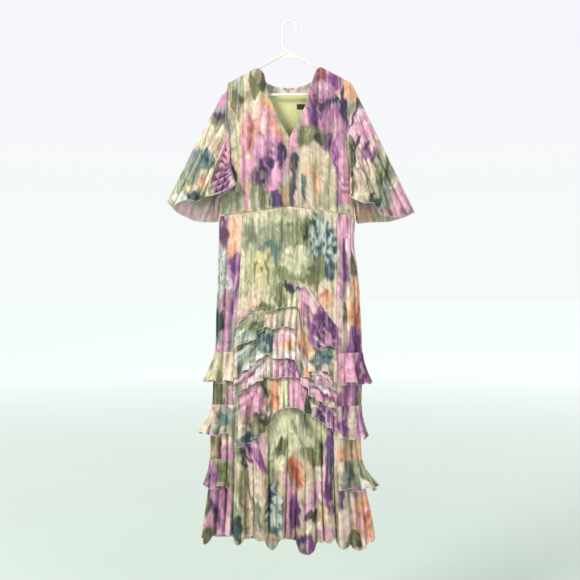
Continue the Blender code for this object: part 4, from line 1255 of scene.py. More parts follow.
# The narrow hollows between those folds: place around, depth at the hem, where each starts.
SKIRT_TROUGHS = rows_of("""
0.03 26 0.5; 0.145 22 0.62; 0.225 15 0.68; 0.35 38 0.56; 0.425 9 0.74; 0.51 30 0.6; 0.615 20 0.66;
0.7 9 0.72; 0.79 16 0.66; 0.855 32 0.54; 0.965 38 0.46; 1.085 20 0.6; 1.3 14 0.56; 1.6 14 0.55;
1.8 20 0.5; 2.06 24 0.45; 2.175 20 0.55; 2.3 28 0.45; 2.42 22 0.55; 2.54 26 0.5; 2.665 24 0.45;
2.8 26 0.55; 2.935 22 0.45; 3.18 20 0.5; 3.42 14 0.55; 3.62 20 0.5; 3.78 18 0.62; 3.905 32 0.44
""")
TROUGH_WANDER = 5.5
# How square the folds between the hollows are, how far they all draw in, and the share of a
# hollow's depth by which it lifts the hem.
PIPE_POWER = 2.4
PIPE_BASE = 4.5
HEM_LIFT = 0.30
# The skirt laid out as a strip: the seams between its panels, and the whole width.
RING_MARKS = (0, 330, 520, 850, 1040)
RING_WIDTH = 1040.0
SEAM_PULL = 1.2
SEAM_PULL_WIDTH = 3.0
# A panel's width near enough, for the reach of the seam's pull.
SEAM_SPACING = 200
SKIRT_CRINKLE = 0.85
IRONED_AT_HEM = 0.75
# Slack waves all over and gathers below the waist, across the warp and along it, with depths.
SLACK = (34, 75)
SLACK_DEPTH = 1.6
SKIRT_GATHERS = (8, 400)
SKIRT_GATHER_DEPTH = 1.2

# Creases by place on the ring in millimetres and height.
SKIRT_CREASES = rows_of("""
12 -640 20 -900 8 2.0; 40 -600 52 -1010 9 -2.4; 74 -590 80 -930 10 2.2; 112 -592 104 -820 8 -2.2;
150 -586 158 -800 9 2.0; 190 -586 186 -810 8 -2.2; 226 -590 232 -900 10 2.4; 262 -596 256 -980 9 -2.4;
298 -600 302 -940 9 2.2; 60 -1280 100 -1420 9 7.0; 76 -1270 118 -1410 6 -7.0; 92 -1262 134 -1380 8 5.0;
36 -1300 56 -1420 7 -6.0; 40 -1340 60 -1590 9 -5.0; 198 -1204 262 -1330 12 5.0;
256 -1260 286 -1450 10 5.0; 182 -1216 236 -1360 8 -3.0; 244 -1290 262 -1500 7 -5.0;
206 -1300 222 -1450 10 4.0; 224 -1330 226 -1600 8 -5.0; 30 -1420 26 -1620 9 5.0;
128 -1330 126 -1600 9 -6.0; 158 -1350 160 -1620 9 5.0; 184 -1400 184 -1620 7 -6.0;
300 -1320 296 -1620 9 -5.0; 349 -590 352 -1560 6 -4.5; 364 -600 368 -1400 8 3.6;
386 -640 380 -1420 7 -3.5; 420 -620 428 -1250 11 3.2; 462 -700 456 -1400 11 -3.0;
498 -640 502 -1300 10 2.8; 372 -1440 368 -1630 9 -6.0; 402 -1440 406 -1640 9 5.0;
548 -620 556 -1200 12 3.0; 596 -640 588 -1400 12 -3.2; 640 -600 652 -1300 12 3.0;
690 -620 682 -1240 12 -3.0; 736 -600 730 -1380 13 3.2; 782 -640 790 -1260 12 -3.0;
826 -640 820 -1340 11 2.8; 572 -1300 566 -1650 11 -6.0; 668 -1240 676 -1650 12 6.0;
766 -1280 760 -1650 11 -6.0; 872 -640 866 -1320 10 -2.8; 906 -680 912 -1240 11 3.2;
948 -640 940 -1400 10 -3.0; 974 -590 970 -1400 7 -3.5; 988 -600 990 -1420 8 3.6;
1002 -590 1006 -1560 6 -4.5; 1026 -620 1022 -1320 7 -3.0; 884 -1440 880 -1620 10 5.0;
962 -1440 966 -1620 9 -6.0; 996 -1400 1000 -1610 9 5.0
""")
SKIRT_SEED = 5200


def ring_across(around):
    """Place on the strip in millimetres, from the place around the skirt."""
    return np.interp(around, range(5), RING_MARKS)


def ring_angle(around, z):
    """Angle round the body of a place on the skirt, 0 at the front and a quarter at the right."""
    middle, half = body_middle(z)
    left = np.arcsin((read(PRINCESS, 1, z) - middle) / half)
    right = np.arcsin((read(PRINCESS, 2, z) - middle) / half)
    marks = np.stack([left, right, math.pi - right, math.pi - left, 2 * math.pi + left])
    panel = np.clip(around.astype(int), 0, 3)
    first = np.take_along_axis(marks, panel[None], 0)[0]
    second = np.take_along_axis(marks, panel[None] + 1, 0)[0]
    return mix(first, second, around - panel)


def skirt_top(around):
    """Height of the skirt's top edge, just below the waist seam."""
    waist = np.full(around.shape, WAIST_CENTRE)
    middle, half = body_middle(waist)
    return waist_height(middle + half * np.sin(ring_angle(around, waist))) - WAIST_GAP / 2


def trough_depth(around, down):
    """How far the cloth goes in between the folds, which are round like pipes at the hem."""
    across = ring_across(around)
    places = [(ring_across(at), depth, start, 9 * at) for at, depth, start in SKIRT_TROUGHS]
    total = np.zeros(around.shape)
    for i, (first, first_depth, first_start, first_phase) in enumerate(places):
        last, last_depth, last_start, last_phase = places[(i + 1) % len(places)]
        begin = first + TROUGH_WANDER * np.sin(5 * down + first_phase)
        end = last + TROUGH_WANDER * np.sin(5 * down + last_phase)
        end = end + np.where(i + 1 == len(places), RING_WIDTH, 0)
        here = np.where(across < begin, across + RING_WIDTH, across)
        t = 2 * (here - begin) / (end - begin) - 1
        inside = (t >= -1) & (t < 1)
        grown = np.where(
            t < 0,
            first_depth * soft_step(first_start, 1.02, down),
            last_depth * soft_step(last_start, 1.02, down),
        )
        round_in = 1 - np.maximum(1 - np.abs(t) ** PIPE_POWER, 0.004) ** (1 / PIPE_POWER)
        total += np.where(inside, grown * round_in, 0)
    return total


def fold_depth(around, down):
    """How far the cloth stands off the body in the folds that open towards the hem."""
    total = np.zeros(around.shape)
    for at, width, depth, start in SKIRT_FOLDS:
        grown = np.clip((down - start) / (1 - start), 0, 1) ** FOLD_GROWTH
        total += depth * grown * np.exp(-(((around - at) / width) ** 2))
    return total - trough_depth(around, down) - PIPE_BASE * soft_step(0.4, 0.95, down)


def skirt_push(around, z, down):
    """Creases, crinkle, gathers below the waist and the pull of the long seams."""
    across = ring_across(around)
    push = creases(SKIRT_CREASES, across, z)
    ironed = 1 - IRONED_AT_HEM * soft_step(0.55, 0.85, down)
    push += SKIRT_CRINKLE * crinkle(across, z, SKIRT_SEED) * ironed
    push += SLACK_DEPTH * ripple(across, z, *SLACK, SKIRT_SEED + 3, loop=31)
    gathers = ripple(across, z, *SKIRT_GATHERS, SKIRT_SEED + 1, loop=130)
    push += SKIRT_GATHER_DEPTH * soft_step(0.14, 0.0, down) * gathers
    beside = np.abs(around - np.round(around)) * SEAM_SPACING
    push -= SEAM_PULL * np.exp(-((beside / SEAM_PULL_WIDTH) ** 2))
    return push * soft_step(0.0, 0.015, down)


def skirt_point(around, z, out=0.0, follow=1.0):
    """Points at a height, `out` off the body; a share `follow` of the skirt's creases shows."""
    top = skirt_top(around)
    down = (z - top) / (read(HEM, 1, around) - top)
    angle = ring_angle(around, z)
    middle, half = body_middle(z)
    depth = np.where(np.cos(angle) > 0, read(BODY, 3, z), read(BODY, 4, z))
    normal = np.stack([np.sin(angle) / half, -np.cos(angle) / depth, np.zeros_like(z)], axis=-1)
    normal /= np.linalg.norm(normal, axis=-1, keepdims=True)
    place = np.stack([middle + half * np.sin(angle), -depth * np.cos(angle), z], axis=-1)
    total = fold_depth(around, down) + follow * skirt_push(around, z, down) + out
    return place + normal * total[..., None]


# Prints of the skirt, x and z as worn on the front; elsewhere the first number is the distance
# from the panel's edge.
SKIRT_FRONT_PRINT = rows_of("""
wash 0 -700 150 110 0 sage
wash 40 -620 60 20 0 lime
wash -50 -622 66 30 0 lime
streak -60 -640 7 50 -70 sage
wash -120 -780 60 90 0 lime
leaf -127 -672 18 36 0 sage olive
wash -76 -694 22 12 0 teal
streak -47 -724 8 44 0 teal
wash -87 -769 38 74 0 lime
wash -86 -768 31 58 0 butter
wash -84 -770 23 46 0 pear
streak -105 -772 4 42 -8 olive
streak -62 -792 4 30 14 fern
wash -88 -772 14 32 0 butter
wash -87 -768 6 15 0 olive
streak -70 -770 3 40 14 olive
leaf 20 -656 48 52 -20 fern olive
wash 52 -650 14 30 -20 moss
dapple 104 -690 46 96 12 teal mist navy
wash 112 -776 22 26 0 deep_teal
wash 10 -738 46 48 0 pear
wash -27 -778 22 28 0 fern
wash 25 -796 27 18 0 fern
leaf 78 -776 28 52 -20 olive fern
wash -100 -880 60 50 0 cream
wash 130 -866 18 50 0 cream
wash 98 -864 22 34 -40 peach
streak 96 -852 7 34 -40 coral
wash -120 -1010 60 120 0 pink
wash 0 -1020 60 120 0 cream
wash 110 -1020 40 120 0 mauve
wash 0 -1480 150 150 0 ecru
wash -14 -1290 48 104 0 pear
streak 46 -1232 9 34 0 moss
wash -106 -1330 36 60 0 pink
streak -112 -1324 9 60 36 purple
streak -92 -1316 4 60 36 white
streak -124 -1346 5 50 36 plum
streak -82 -1352 8 50 20 orchid
streak -148 -1352 7 30 0 moss
wash -138 -1372 7 10 0 plum
wash -108 -1450 36 80 0 cream
streak -120 -1450 5 70 14 olive
streak -96 -1470 4 60 10 sage
streak -150 -1440 8 60 0 olive
leaf -162 -1556 15 44 0 deep_teal moss
leaf -98 -1530 12 50 6 grey olive
wash -22 -1304 20 36 0 olive
streak -30 -1298 6 26 0 moss
wash -50 -1392 15 44 0 sage
dapple -45 -1510 28 86 0 teal mist navy
wash -2 -1450 20 96 0 pink
wash 22 -1388 20 50 10 coral
streak 18 -1394 11 48 16 rust
streak 34 -1400 6 40 10 peach
streak 2 -1404 5 34 0 olive
wash 14 -1512 17 58 0 purple
streak 22 -1520 8 50 0 plum
wash -6 -1560 10 26 0 mauve
wash 76 -1326 30 46 0 olive
wash 60 -1290 14 30 0 lime
streak 98 -1330 8 40 0 moss
wash 70 -1412 19 66 -38 cream
wash 86 -1452 22 92 -38 pink
streak 74 -1436 5 80 -38 blush
streak 96 -1462 4 60 -38 white
wash 62 -1518 14 30 -48 moss
wash 66 -1554 34 18 -20 cream
streak 70 -1552 5 24 -70 white
wash 42 -1604 40 34 0 purple
wash 22 -1632 18 14 0 orchid
streak 28 -1604 11 30 0 plum
streak 54 -1608 4 22 0 mauve
streak 42 -1600 8 32 0 navy
wash 108 -1576 26 24 0 mauve
wash 124 -1310 14 60 0 purple
wash 120 -1366 14 34 0 deep_teal
wash 122 -1470 15 60 0 purple
streak 126 -1450 6 70 0 plum
streak 112 -1400 6 70 0 plum
streak 104 -1400 3 90 0 pink
""")
SKIRT_SIDE_LEFT_PRINT = rows_of("""
wash 150 -690 34 90 0 peach
wash 150 -800 26 70 0 orchid
wash 128 -650 24 60 0 plum
dapple 128 -820 28 130 0 mist grey teal
wash 172 -752 18 34 0 purple
streak 166 -860 5 70 0 white
streak 184 -850 5 70 0 plum
wash 150 -900 30 70 0 dusk
leaf 110 -950 30 60 0 deep_teal navy
leaf 140 -930 14 40 0 deep_teal moss
wash 130 -1060 50 60 0 pink
wash 128 -1160 50 56 0 olive
streak 120 -1150 9 50 0 moss
wash 120 -1320 40 60 0 peach
streak 128 -1310 14 50 0 olive
streak 150 -1330 6 40 0 plum
leaf 116 -1440 20 110 0 olive moss
wash 150 -1460 18 50 0 mauve
wash 150 -1540 18 44 0 dusk
streak 142 -1500 9 70 20 plum
streak 162 -1420 5 50 30 plum
streak 134 -1440 6 30 -20 deep_teal
wash 144 -1400 16 40 0 cream
wash 178 -1440 14 110 0 dusk
wash 180 -1560 12 50 0 blush
leaf 120 -1590 26 40 0 olive moss
bloom 36 -760 50 100 0 pink blush orchid rust
wash 30 -940 50 80 0 cream
leaf 40 -1120 40 90 0 sage olive
bloom 30 -1290 44 90 0 peach blush coral rust
wash 30 -1500 50 90 0 mauve
""")
SKIRT_SIDE_RIGHT_PRINT = rows_of("""
wash 26 -650 26 60 0 pink
streak 26 -750 12 80 0 purple
wash 62 -690 30 80 0 blush
leaf 66 -760 20 40 0 olive moss
wash 66 -850 30 70 0 peach
bloom 66 -920 34 56 0 coral peach rust rust
leaf 22 -900 9 40 0 moss olive
wash 30 -980 30 50 0 cream
bloom 56 -1010 36 66 0 purple orchid plum navy
wash 40 -1180 40 70 0 orchid
wash 66 -1200 26 60 0 olive
wash 46 -1350 60 60 0 peach
streak 36 -1320 8 40 0 olive
wash 14 -1520 24 96 0 cream
streak 22 -1510 5 60 0 white
bloom 56 -1530 34 90 0 peach blush coral rust
leaf 28 -1606 16 26 0 olive moss
leaf 0 -1440 9 60 0 plum purple
bloom 140 -760 50 110 0 sage lime olive moss
wash 140 -980 50 80 0 pink
bloom 130 -1160 50 90 0 orchid pink plum navy
leaf 140 -1360 34 90 0 olive moss
wash 140 -1560 50 60 0 mauve
""")
SKIRT_BACK_PRINT = rows_of("""
bloom 90 -700 76 100 0 orchid pink plum navy
leaf 190 -660 46 70 20 olive moss
bloom 254 -790 70 110 0 butter cream sage moss
dapple 40 -880 44 90 0 teal white navy
wash 150 -880 60 60 0 cream
wash 120 -1000 90 70 0 peach
bloom 240 -1000 66 90 0 coral peach rust rust
leaf 60 -1080 40 70 -14 olive moss
bloom 120 -1180 80 100 0 purple mauve plum navy
wash 260 -1170 60 80 0 sage
leaf 210 -1250 36 80 10 teal deep_teal
bloom 70 -1360 70 100 0 cream lime sage olive
wash 200 -1380 70 80 0 pink
bloom 276 -1420 50 90 0 orchid pink plum purple
leaf 130 -1480 40 80 0 olive moss
wash 40 -1540 60 70 0 mauve
bloom 200 -1540 60 80 0 peach cream coral rust
""")

# Name, columns and rows of the grid, print, ground and flat size in metres, as they lie around.
skirt_pieces = (
    ("front", 176, 210, SKIRT_FRONT_PRINT, ("lime", "cream", "sage"), (0.38, 1.05)),
    ("side_right", 84, 190, SKIRT_SIDE_RIGHT_PRINT, ("cream", "mauve", "sage"), (0.21, 1.02)),
    ("back", 136, 160, SKIRT_BACK_PRINT, ("cream", "sage", "mauve"), (0.40, 1.06)),
    ("side_left", 84, 190, SKIRT_SIDE_LEFT_PRINT, ("cream", "mauve", "grey"), (0.20, 1.02)),
)
for first, (name, columns, rows, motifs, ground, flat) in enumerate(skirt_pieces):
    name = "skirt_" + name
    around = np.linspace(first, first + 1, columns + 1)
    around, down = np.meshgrid(around, np.linspace(0, 1, rows + 1))
    hem_line = read(HEM, 1, around) + HEM_LIFT * trough_depth(around, np.ones_like(down))
    z = mix(skirt_top(around), hem_line, down)
    points = skirt_point(around, z, FACE_INSET)
    across = ring_across(around) - RING_MARKS[first]
    drawn = points[..., 0] if first == 0 else across
    # Painted shade in the troughs of the folds and painted light on their ridges.
    dye = with_painted_fold_light_and_shade(paint(drawn, z, ground, motifs, SKIRT_SEED + 10 + 10 * first), points)
    piece, hem = hemmed_cloth(name, points, dye, np.stack([across, z], axis=-1))
    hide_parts(name)


# ------------------------------------------------------------------ front flounces
# Five bias-cut strips sewn in arches across the front panel, each over the top of the next. They
# are gathered into their seams, most at the middle, and stand off in soft waves at the hem.

# Lines by distance across: the top seam, then the hem of each flounce.
FRONT_LINES = rows_of("""
-178 -944 -956 -1024 -1108 -1168 -1324; -165 -932 -945 -1010 -1097 -1157 -1318;
-152 -918 -926 -996 -1090 -1146 -1312; -138 -904 -908 -991 -1078 -1134 -1306;
-123 -890 -896 -986 -1070 -1124 -1294; -110 -878 -893 -980 -1060 -1116 -1284;
-94 -862 -899 -962 -1046 -1109 -1272; -80 -846 -899 -948 -1034 -1102 -1262;
-69 -832 -898 -942 -1026 -1093 -1252; -61 -824 -895 -949 -1029 -1094 -1238;
-54 -818 -893 -950 -1035 -1096 -1216; -42 -808 -888 -946 -1037 -1097 -1202;
-24 -800 -882 -942 -1038 -1092 -1192; 0 -799 -880 -944 -1039 -1093 -1188;
14 -801 -882 -952 -1044 -1096 -1189; 23 -806 -890 -970 -1060 -1099 -1190;
29 -809 -914 -998 -1078 -1103 -1192; 38 -813 -938 -1030 -1091 -1115 -1202;
50 -822 -964 -1060 -1095 -1132 -1207; 61 -836 -986 -1078 -1099 -1149 -1211;
83 -866 -1010 -1076 -1107 -1166 -1224; 104 -896 -1000 -1080 -1120 -1179 -1240;
126 -924 -1003 -1100 -1134 -1188 -1256; 150 -950 -1006 -1124 -1144 -1190 -1278
""")
# How far a seam lies under the hem above it, and the least step between seams.
FLOUNCE_LAP = 22.0
LEAST_STEP = 11.0
# The grid keeps a little clear of the panel's side seams; its places are taken at one level.
FLOUNCE_COLUMNS = 200
FLOUNCE_EDGE = 0.006
FLOUNCE_LEVEL = -984.0
# How far the hems stand off, the height of a flounce that does so in full, and how soon.
FRONT_FLARE = 16.0
FLARE_HEIGHT = 62.0
FLARE_BEND = 0.8
# The strip in the middle is finely gathered, and the wings beside it hang in looser folds.
STRIP_LEFT = -66.0
STRIP_RIGHT = 24.0
STRIP_FADE = 16.0
# Waves at the hem: length, rise and sideways lean.
STRIP_WAVE = (17, 2.4, 1.8)
WING_WAVE = (44, 6.5, 7.0)
# How near the side seams the waves die out, and the least gap from the panel.
SEAM_HOLD = 14
LAID_GAP = 1.3
GATHERS = (5.5, 90)
GATHER_DEPTH = 0.9
# Drape of the wings: pitch and length of its folds, how those wander, and their depth.
DRAPE = (9.5, 80)
DRAPE_WANDER = (45, 30)
DRAPE_DEPTH = 4.4
# How the hem line rises and falls: pitch and height.
FLOUNCE_SWAY = (34, 100)
FLOUNCE_SWAY_HEIGHT = 2.4
FLOUNCE_GROUND = ("cream", "sage", "lime")
# How far down the painted shadow under a hem reaches, and how dark it is.
PAINTED_SHADOW_REACH = 9.0
UNDER_HEM_PAINTED_SHADOW = 0.32
FLOUNCE_SEED = 6300
# Folds in the wings: x and z of both ends, width, depth.
FLOUNCE_CREASES = [rows_of(part) for part in """
-96 -852 -150 -930 9 3.0; -74 -850 -110 -900 7 -3.4; 44 -826 64 -1010 6 -4.6; 58 -836 104 -1010 8 4.6;
72 -860 136 -1010 6 -4.6; 96 -900 150 -1000 8 4.0; 52 -900 78 -1020 6 3.4

-88 -900 -156 -1000 7 -4.4; -74 -906 -136 -1000 8 4.2; -106 -910 -170 -990 8 3.8;
-70 -930 -112 -990 6 -4.0; 36 -900 52 -1060 6 -4.2; 56 -980 100 -1080 8 4.0; 84 -1010 134 -1100 6 -4.0

-74 -960 -160 -1090 7 -4.6; -90 -960 -172 -1060 8 4.4; -70 -990 -130 -1080 8 4.0;
34 -1000 60 -1100 7 3.6; 50 -1040 120 -1130 6 -4.6; 76 -1060 146 -1130 7 4.4

-72 -1040 -164 -1150 6 -5.0; -84 -1040 -172 -1130 7 4.6; -66 -1056 -140 -1150 8 4.4;
36 -1070 130 -1180 6 -5.2; 52 -1070 148 -1160 8 4.8; 34 -1090 100 -1176 7 4.2

-82 -1110 -128 -1300 8 4.6; -96 -1110 -146 -1310 6 -5.0; -112 -1116 -166 -1320 9 4.6;
-70 -1120 -102 -1280 6 -4.6; -60 -1140 -64 -1240 7 4.0; 32 -1110 44 -1210 6 -4.8;
48 -1120 76 -1220 9 5.0; 70 -1150 116 -1250 7 -5.2; 100 -1170 144 -1270 8 4.8
""".split("\n\n")]
# Prints of the front flounces, x and z as worn.
FLOUNCE_PRINTS = [rows_of(part) for part in """
wash -110 -900 60 40 0 fern
wash -104 -890 44 26 -20 olive
wash -20 -850 50 60 0 pear
streak -28 -850 12 60 0 sage
wash -42 -850 22 44 0 olive
wash -16 -818 18 18 0 moss
streak 14 -822 9 36 68 navy
wash 42 -880 22 56 0 pink
streak 58 -870 6 40 42 blush
bloom 98 -948 56 66 0 purple orchid plum plum
streak 84 -950 4 60 42 mauve
streak 114 -962 4 46 42 mauve
streak 96 -990 3 40 50 white

bloom -112 -930 48 32 0 fern sage olive moss
wash -140 -974 36 20 -20 mist
wash -20 -920 60 60 0 cream
streak -30 -920 8 50 0 sage
wash 46 -980 26 60 0 peach
wash 100 -1050 40 44 0 teal
wash 134 -1080 30 40 0 cream

leaf -70 -990 40 40 0 teal deep_teal
wash -120 -1040 50 40 0 mist
streak -130 -1040 9 50 -50 sage
bloom -2 -1000 46 60 0 blush white peach peach
wash 60 -1050 26 60 0 peach
wash 110 -1090 50 40 0 blush
streak 70 -1076 6 50 50 white
streak 92 -1110 5 50 50 mauve
streak -110 -1050 5 50 -50 white

wash -120 -1080 60 50 0 blush
streak -130 -1100 9 60 -52 sage
streak -110 -1080 8 60 -52 mauve
streak -90 -1080 16 30 0 mist
bloom 0 -1070 50 50 0 pink blush purple orchid
wash 70 -1120 40 50 0 blush
wash 120 -1150 50 30 0 pink
streak 84 -1118 6 56 50 white
streak 100 -1150 5 56 50 purple
streak -90 -1100 6 46 -50 white

wash -110 -1170 44 70 10 pink
leaf -80 -1250 40 40 20 olive moss
wash -130 -1290 40 20 0 deep_teal
streak -64 -1150 12 60 20 moss
wash -38 -1150 24 60 0 peach
streak -46 -1166 7 34 0 coral
wash -6 -1140 26 60 0 pear
wash 22 -1140 22 60 0 pink
leaf 54 -1170 18 40 0 moss olive
wash 100 -1196 40 64 0 blush
wash 98 -1212 30 34 0 purple
streak 88 -1204 4 50 48 white
streak 106 -1226 5 50 48 plum
wash 136 -1250 30 40 0 mauve
""".split("\n\n")]


def front_seam_and_hem(number, x):
    """Heights of a flounce's seam and hem; the seam lies under the hem of the one above."""
    hem = read(FRONT_LINES, number + 1, x)
    if number == 1:
        return read(FRONT_LINES, 1, x), hem
    seam_above, hem_above = front_seam_and_hem(number - 1, x)
    return np.minimum(hem_above + FLOUNCE_LAP, seam_above - LEAST_STEP), hem


def ruffle(across, length, seed):
    """Rise and sideways lean of an uneven ruffle whose folds roll over their own necks."""
    phase = 2 * math.pi * across / length + 1.5 * ripple(across, 0 * across, 2.3 * length, 100, seed)
    swell = 0.72 + 0.28 * ripple(across, 0 * across, 1.7 * length, 100, seed + 1)
    return swell * np.cos(phase), swell * np.sin(2 * phase)


def painted_shadow_under_hem(dye, below):
    """Painted shadow: the dye darkened just below the hem that hangs over it, by millimetres below."""
    near = np.exp(-np.maximum(below, 0) / PAINTED_SHADOW_REACH) * soft_step(-12, 0, below)
    return dye * (1 - UNDER_HEM_PAINTED_SHADOW * near)[..., None]


def ring_place(across):
    """Place around the skirt, from millimetres on the strip."""
    return np.interp(across, RING_MARKS, range(5))


# Flat width, length and area of each strip in metres, and the rows of its grid.
FLOUNCE_CUTS = (
    (0.37, 0.12, 0.030, 28),
    (0.38, 0.12, 0.033, 28),
    (0.38, 0.12, 0.034, 28),
    (0.37, 0.11, 0.031, 28),
    (0.40, 0.19, 0.050, 40),
)
for number, (width, length, area, rows) in enumerate(FLOUNCE_CUTS, 1):
    places = np.linspace(FLOUNCE_EDGE, 1 - FLOUNCE_EDGE, FLOUNCE_COLUMNS + 1)
    around, down = np.meshgrid(places, np.linspace(0, 1, rows + 1))
    x = skirt_point(around, np.full(around.shape, FLOUNCE_LEVEL))[..., 0]
    seam, hem_line = front_seam_and_hem(number, x)
    height = seam - hem_line
    low = np.minimum(1, height / FLARE_HEIGHT)
    across = ring_across(around)
    seed = FLOUNCE_SEED + 10 * number
    strip = soft_step(STRIP_LEFT - STRIP_FADE, STRIP_LEFT, x)
    strip = strip * soft_step(STRIP_RIGHT + STRIP_FADE, STRIP_RIGHT, x)
    end = RING_MARKS[1]
    held = soft_step(0, SEAM_HOLD, across) * soft_step(end, end - SEAM_HOLD, across)
    wing_rise, wing_lean = ruffle(across + 11 * number, WING_WAVE[0], seed)
    strip_rise, strip_lean = ruffle(across, STRIP_WAVE[0], seed + 3)
    rise = mix(WING_WAVE[1] * wing_rise, STRIP_WAVE[1] * strip_rise, strip) * held
    lean = mix(WING_WAVE[2] * wing_lean, STRIP_WAVE[2] * strip_lean, strip) * held
    out = CLOTH_WALL + LAID_GAP + low * (FRONT_FLARE * down**FLARE_BEND + rise * down**1.4)
    out += low * np.minimum(1, 3 * down) * creases(FLOUNCE_CREASES[number - 1], x, seam - height * down)
    gathers = ripple(across, down * 60, *GATHERS, seed + 5)
    out += GATHER_DEPTH * gathers * np.minimum(1, 8 * down) * (1 - 0.6 * down)
    # The wings are pulled into folds along the arch.
    fan = (0.5 * height + 34) * down + 5 * ripple(across, 40 * down, *DRAPE_WANDER, seed + 9)
    drape = ripple(fan, across, *DRAPE, seed + 8)
    out += DRAPE_DEPTH * low * drape * (1 - strip) * np.sin(math.pi * np.clip(down * 0.9, 0, 1))
    out = np.maximum(out, CLOTH_WALL + LAID_GAP)
    sway = FLOUNCE_SWAY_HEIGHT * ripple(across, 0 * across, *FLOUNCE_SWAY, seed + 6)
    sway = sway + 2.0 * rise / WING_WAVE[1]
    z = seam - height * down + low * (sway * down)
    follow = 1 - 0.8 * (1 - strip) * np.minimum(1, 3 * down)
    points = skirt_point(ring_place(across + lean * down**1.6), z, out, follow)
    dye = paint(x, z, FLOUNCE_GROUND, FLOUNCE_PRINTS[number - 1], seed + 30)
    # Painted shadow on the cloth just below the hem of the flounce above.
    if number > 1:
        dye = painted_shadow_under_hem(dye, front_seam_and_hem(number - 1, x)[1] - z)
    name = "front_flounce_%d" % number
    # Painted shade in the troughs of the folds and painted light on their ridges.
    piece, hem = hemmed_cloth(name, points, with_painted_fold_light_and_shade(dye, points), np.stack([across, z], axis=-1))
    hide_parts(name)


# ------------------------------------------------------------------ side and back flounces
# Three flounces on each side, from the front seam round to the centre back, where the two halves
# meet. They are cut as curved strips, so they flare like a bell at the sides.

# Name, height of the seam and of the hem, flare at the side and at the back.
TIERS = (
    ("tier_1_left", -1021, -1112, 30, 16),
    ("tier_1_right", -1024, -1118, 28, 16),
    ("tier_2_left", -1184, -1272, 34, 17),
    ("tier_2_right", -1187, -1286, 20, 17),
    ("tier_3_left", -1352, -1438, 11, 18),
    ("tier_3_right", -1356, -1440, 40, 18),
)
TIER_COLUMNS = 220
TIER_ROWS = 24
TIER_FRONT_FLARE = 9.0
# How wide the flare is at the side, and how soon it passes into that of the back.
TIER_BELL = 0.34
TIER_BACKWARD = 1.6
# Waves at the hem: length, rise and sideways lean; then how far the hem line sways with them.
TIER_WAVE = (54, 10.5, 10.0)
TIER_SWAY = 8.0
TIER_UNEVEN = (30, 100)
TIER_UNEVEN_HEIGHT = 3.0
# Length of a flounce along the strip, and how near its ends the waves die out.
TIER_ROUND = 355
TIER_HOLD = 16
TIER_GATHERS = (6.5, 90)
TIER_SEED = 7400
TIER_GROUND = ("cream", "sage", "mauve")
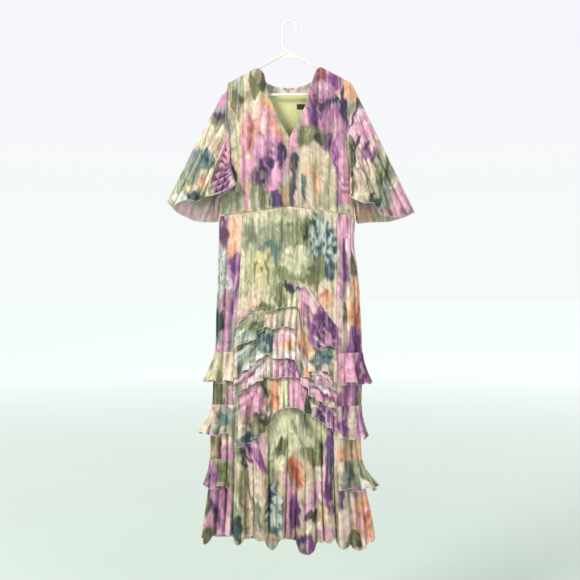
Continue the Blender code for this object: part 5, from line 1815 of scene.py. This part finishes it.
# Prints, by distance from the front seam and height.
TIER_PRINTS = {
    "tier_1_left": rows_of("""
wash 40 -1070 60 60 0 lime
wash 10 -1060 20 60 0 cream
bloom 150 -1070 50 50 0 orchid pink plum navy
wash 280 -1070 60 60 0 sage
bloom 400 -1070 60 50 0 peach blush coral rust
"""),
    "tier_1_right": rows_of("""
wash 20 -1060 40 60 0 pink
bloom 76 -1080 34 50 0 purple orchid plum navy
wash 150 -1070 50 50 0 cream
leaf 250 -1070 50 44 60 olive moss
bloom 360 -1070 60 50 0 orchid pink plum navy
"""),
    "tier_2_left": rows_of("""
wash 20 -1216 30 34 0 grey
leaf 44 -1240 30 30 0 teal olive
wash 90 -1240 50 50 0 cream
bloom 210 -1230 60 50 0 coral peach rust rust
wash 380 -1230 80 60 0 mauve
"""),
    "tier_2_right": rows_of("""
bloom 14 -1230 18 60 0 purple mauve plum plum
wash 40 -1240 16 60 0 cream
bloom 72 -1240 30 56 0 orchid mauve navy purple
wash 160 -1240 50 50 0 sage
bloom 300 -1230 70 50 0 butter cream sage olive
"""),
    "tier_3_left": rows_of("""
wash 30 -1400 40 50 0 olive
bloom 90 -1400 50 50 0 orchid mauve plum olive
wash 210 -1400 60 50 0 cream
bloom 350 -1400 60 50 0 purple mauve plum navy
"""),
    "tier_3_right": rows_of("""
leaf 24 -1400 20 46 0 grey moss
wash 50 -1400 20 50 0 sage
streak 56 -1410 6 40 0 white
leaf 70 -1390 18 46 0 olive moss
wash 110 -1400 40 50 0 lime
bloom 230 -1400 60 50 0 pink blush orchid rust
wash 390 -1400 60 60 0 sage
"""),
}

for number, (name, seam, hem_line, side_flare, back_flare) in enumerate(TIERS):
    left = name.endswith("left")
    first, last = (2.5, 4.0) if left else (1.0, 2.5)
    places = np.linspace(first, last, TIER_COLUMNS + 1)
    around, down = np.meshgrid(places, np.linspace(0, 1, TIER_ROWS + 1))
    from_front = 4.0 - around if left else around - 1.0
    beside = np.exp(-(((from_front - 0.5) / TIER_BELL) ** 2))
    behind = np.clip((from_front - 0.5) * TIER_BACKWARD, 0, 1)
    flare = mix(mix(TIER_FRONT_FLARE, back_flare, behind), side_flare, beside)
    across = np.abs(ring_across(around) - (RING_MARKS[4] if left else RING_MARKS[1]))
    seed = TIER_SEED + 10 * number
    rise, lean = ruffle(across + 19 * number, TIER_WAVE[0], seed)
    held = soft_step(0, TIER_HOLD, across) * soft_step(TIER_ROUND, TIER_ROUND - TIER_HOLD, across)
    lean = lean * (-1 if left else 1) * TIER_WAVE[2] * held
    rise = rise * TIER_WAVE[1] * (0.35 + 0.65 * held)
    out = CLOTH_WALL + LAID_GAP + flare * down**1.4 + rise * down**1.5
    gathers = ripple(across, down * 60, *TIER_GATHERS, seed + 4)
    out += gathers * np.minimum(1, 8 * down) * (1 - 0.6 * down)
    out = np.maximum(out, CLOTH_WALL + LAID_GAP)
    uneven = ripple(across, 0 * across, *TIER_UNEVEN, seed + 6)
    sway = TIER_SWAY * rise / TIER_WAVE[1] + TIER_UNEVEN_HEIGHT * uneven
    z = mix(seam, hem_line, down) + sway * down
    place = ring_place(ring_across(around) + lean * down**1.7)
    points = skirt_point(np.clip(place, first, last), z, out)
    dye = paint(across, z, TIER_GROUND, TIER_PRINTS[name], seed + 30)
    # Painted shade in the troughs of the folds and painted light on their ridges.
    piece, hem = hemmed_cloth(name, points, with_painted_fold_light_and_shade(dye, points), np.stack([across, z], axis=-1))
    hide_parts(name)
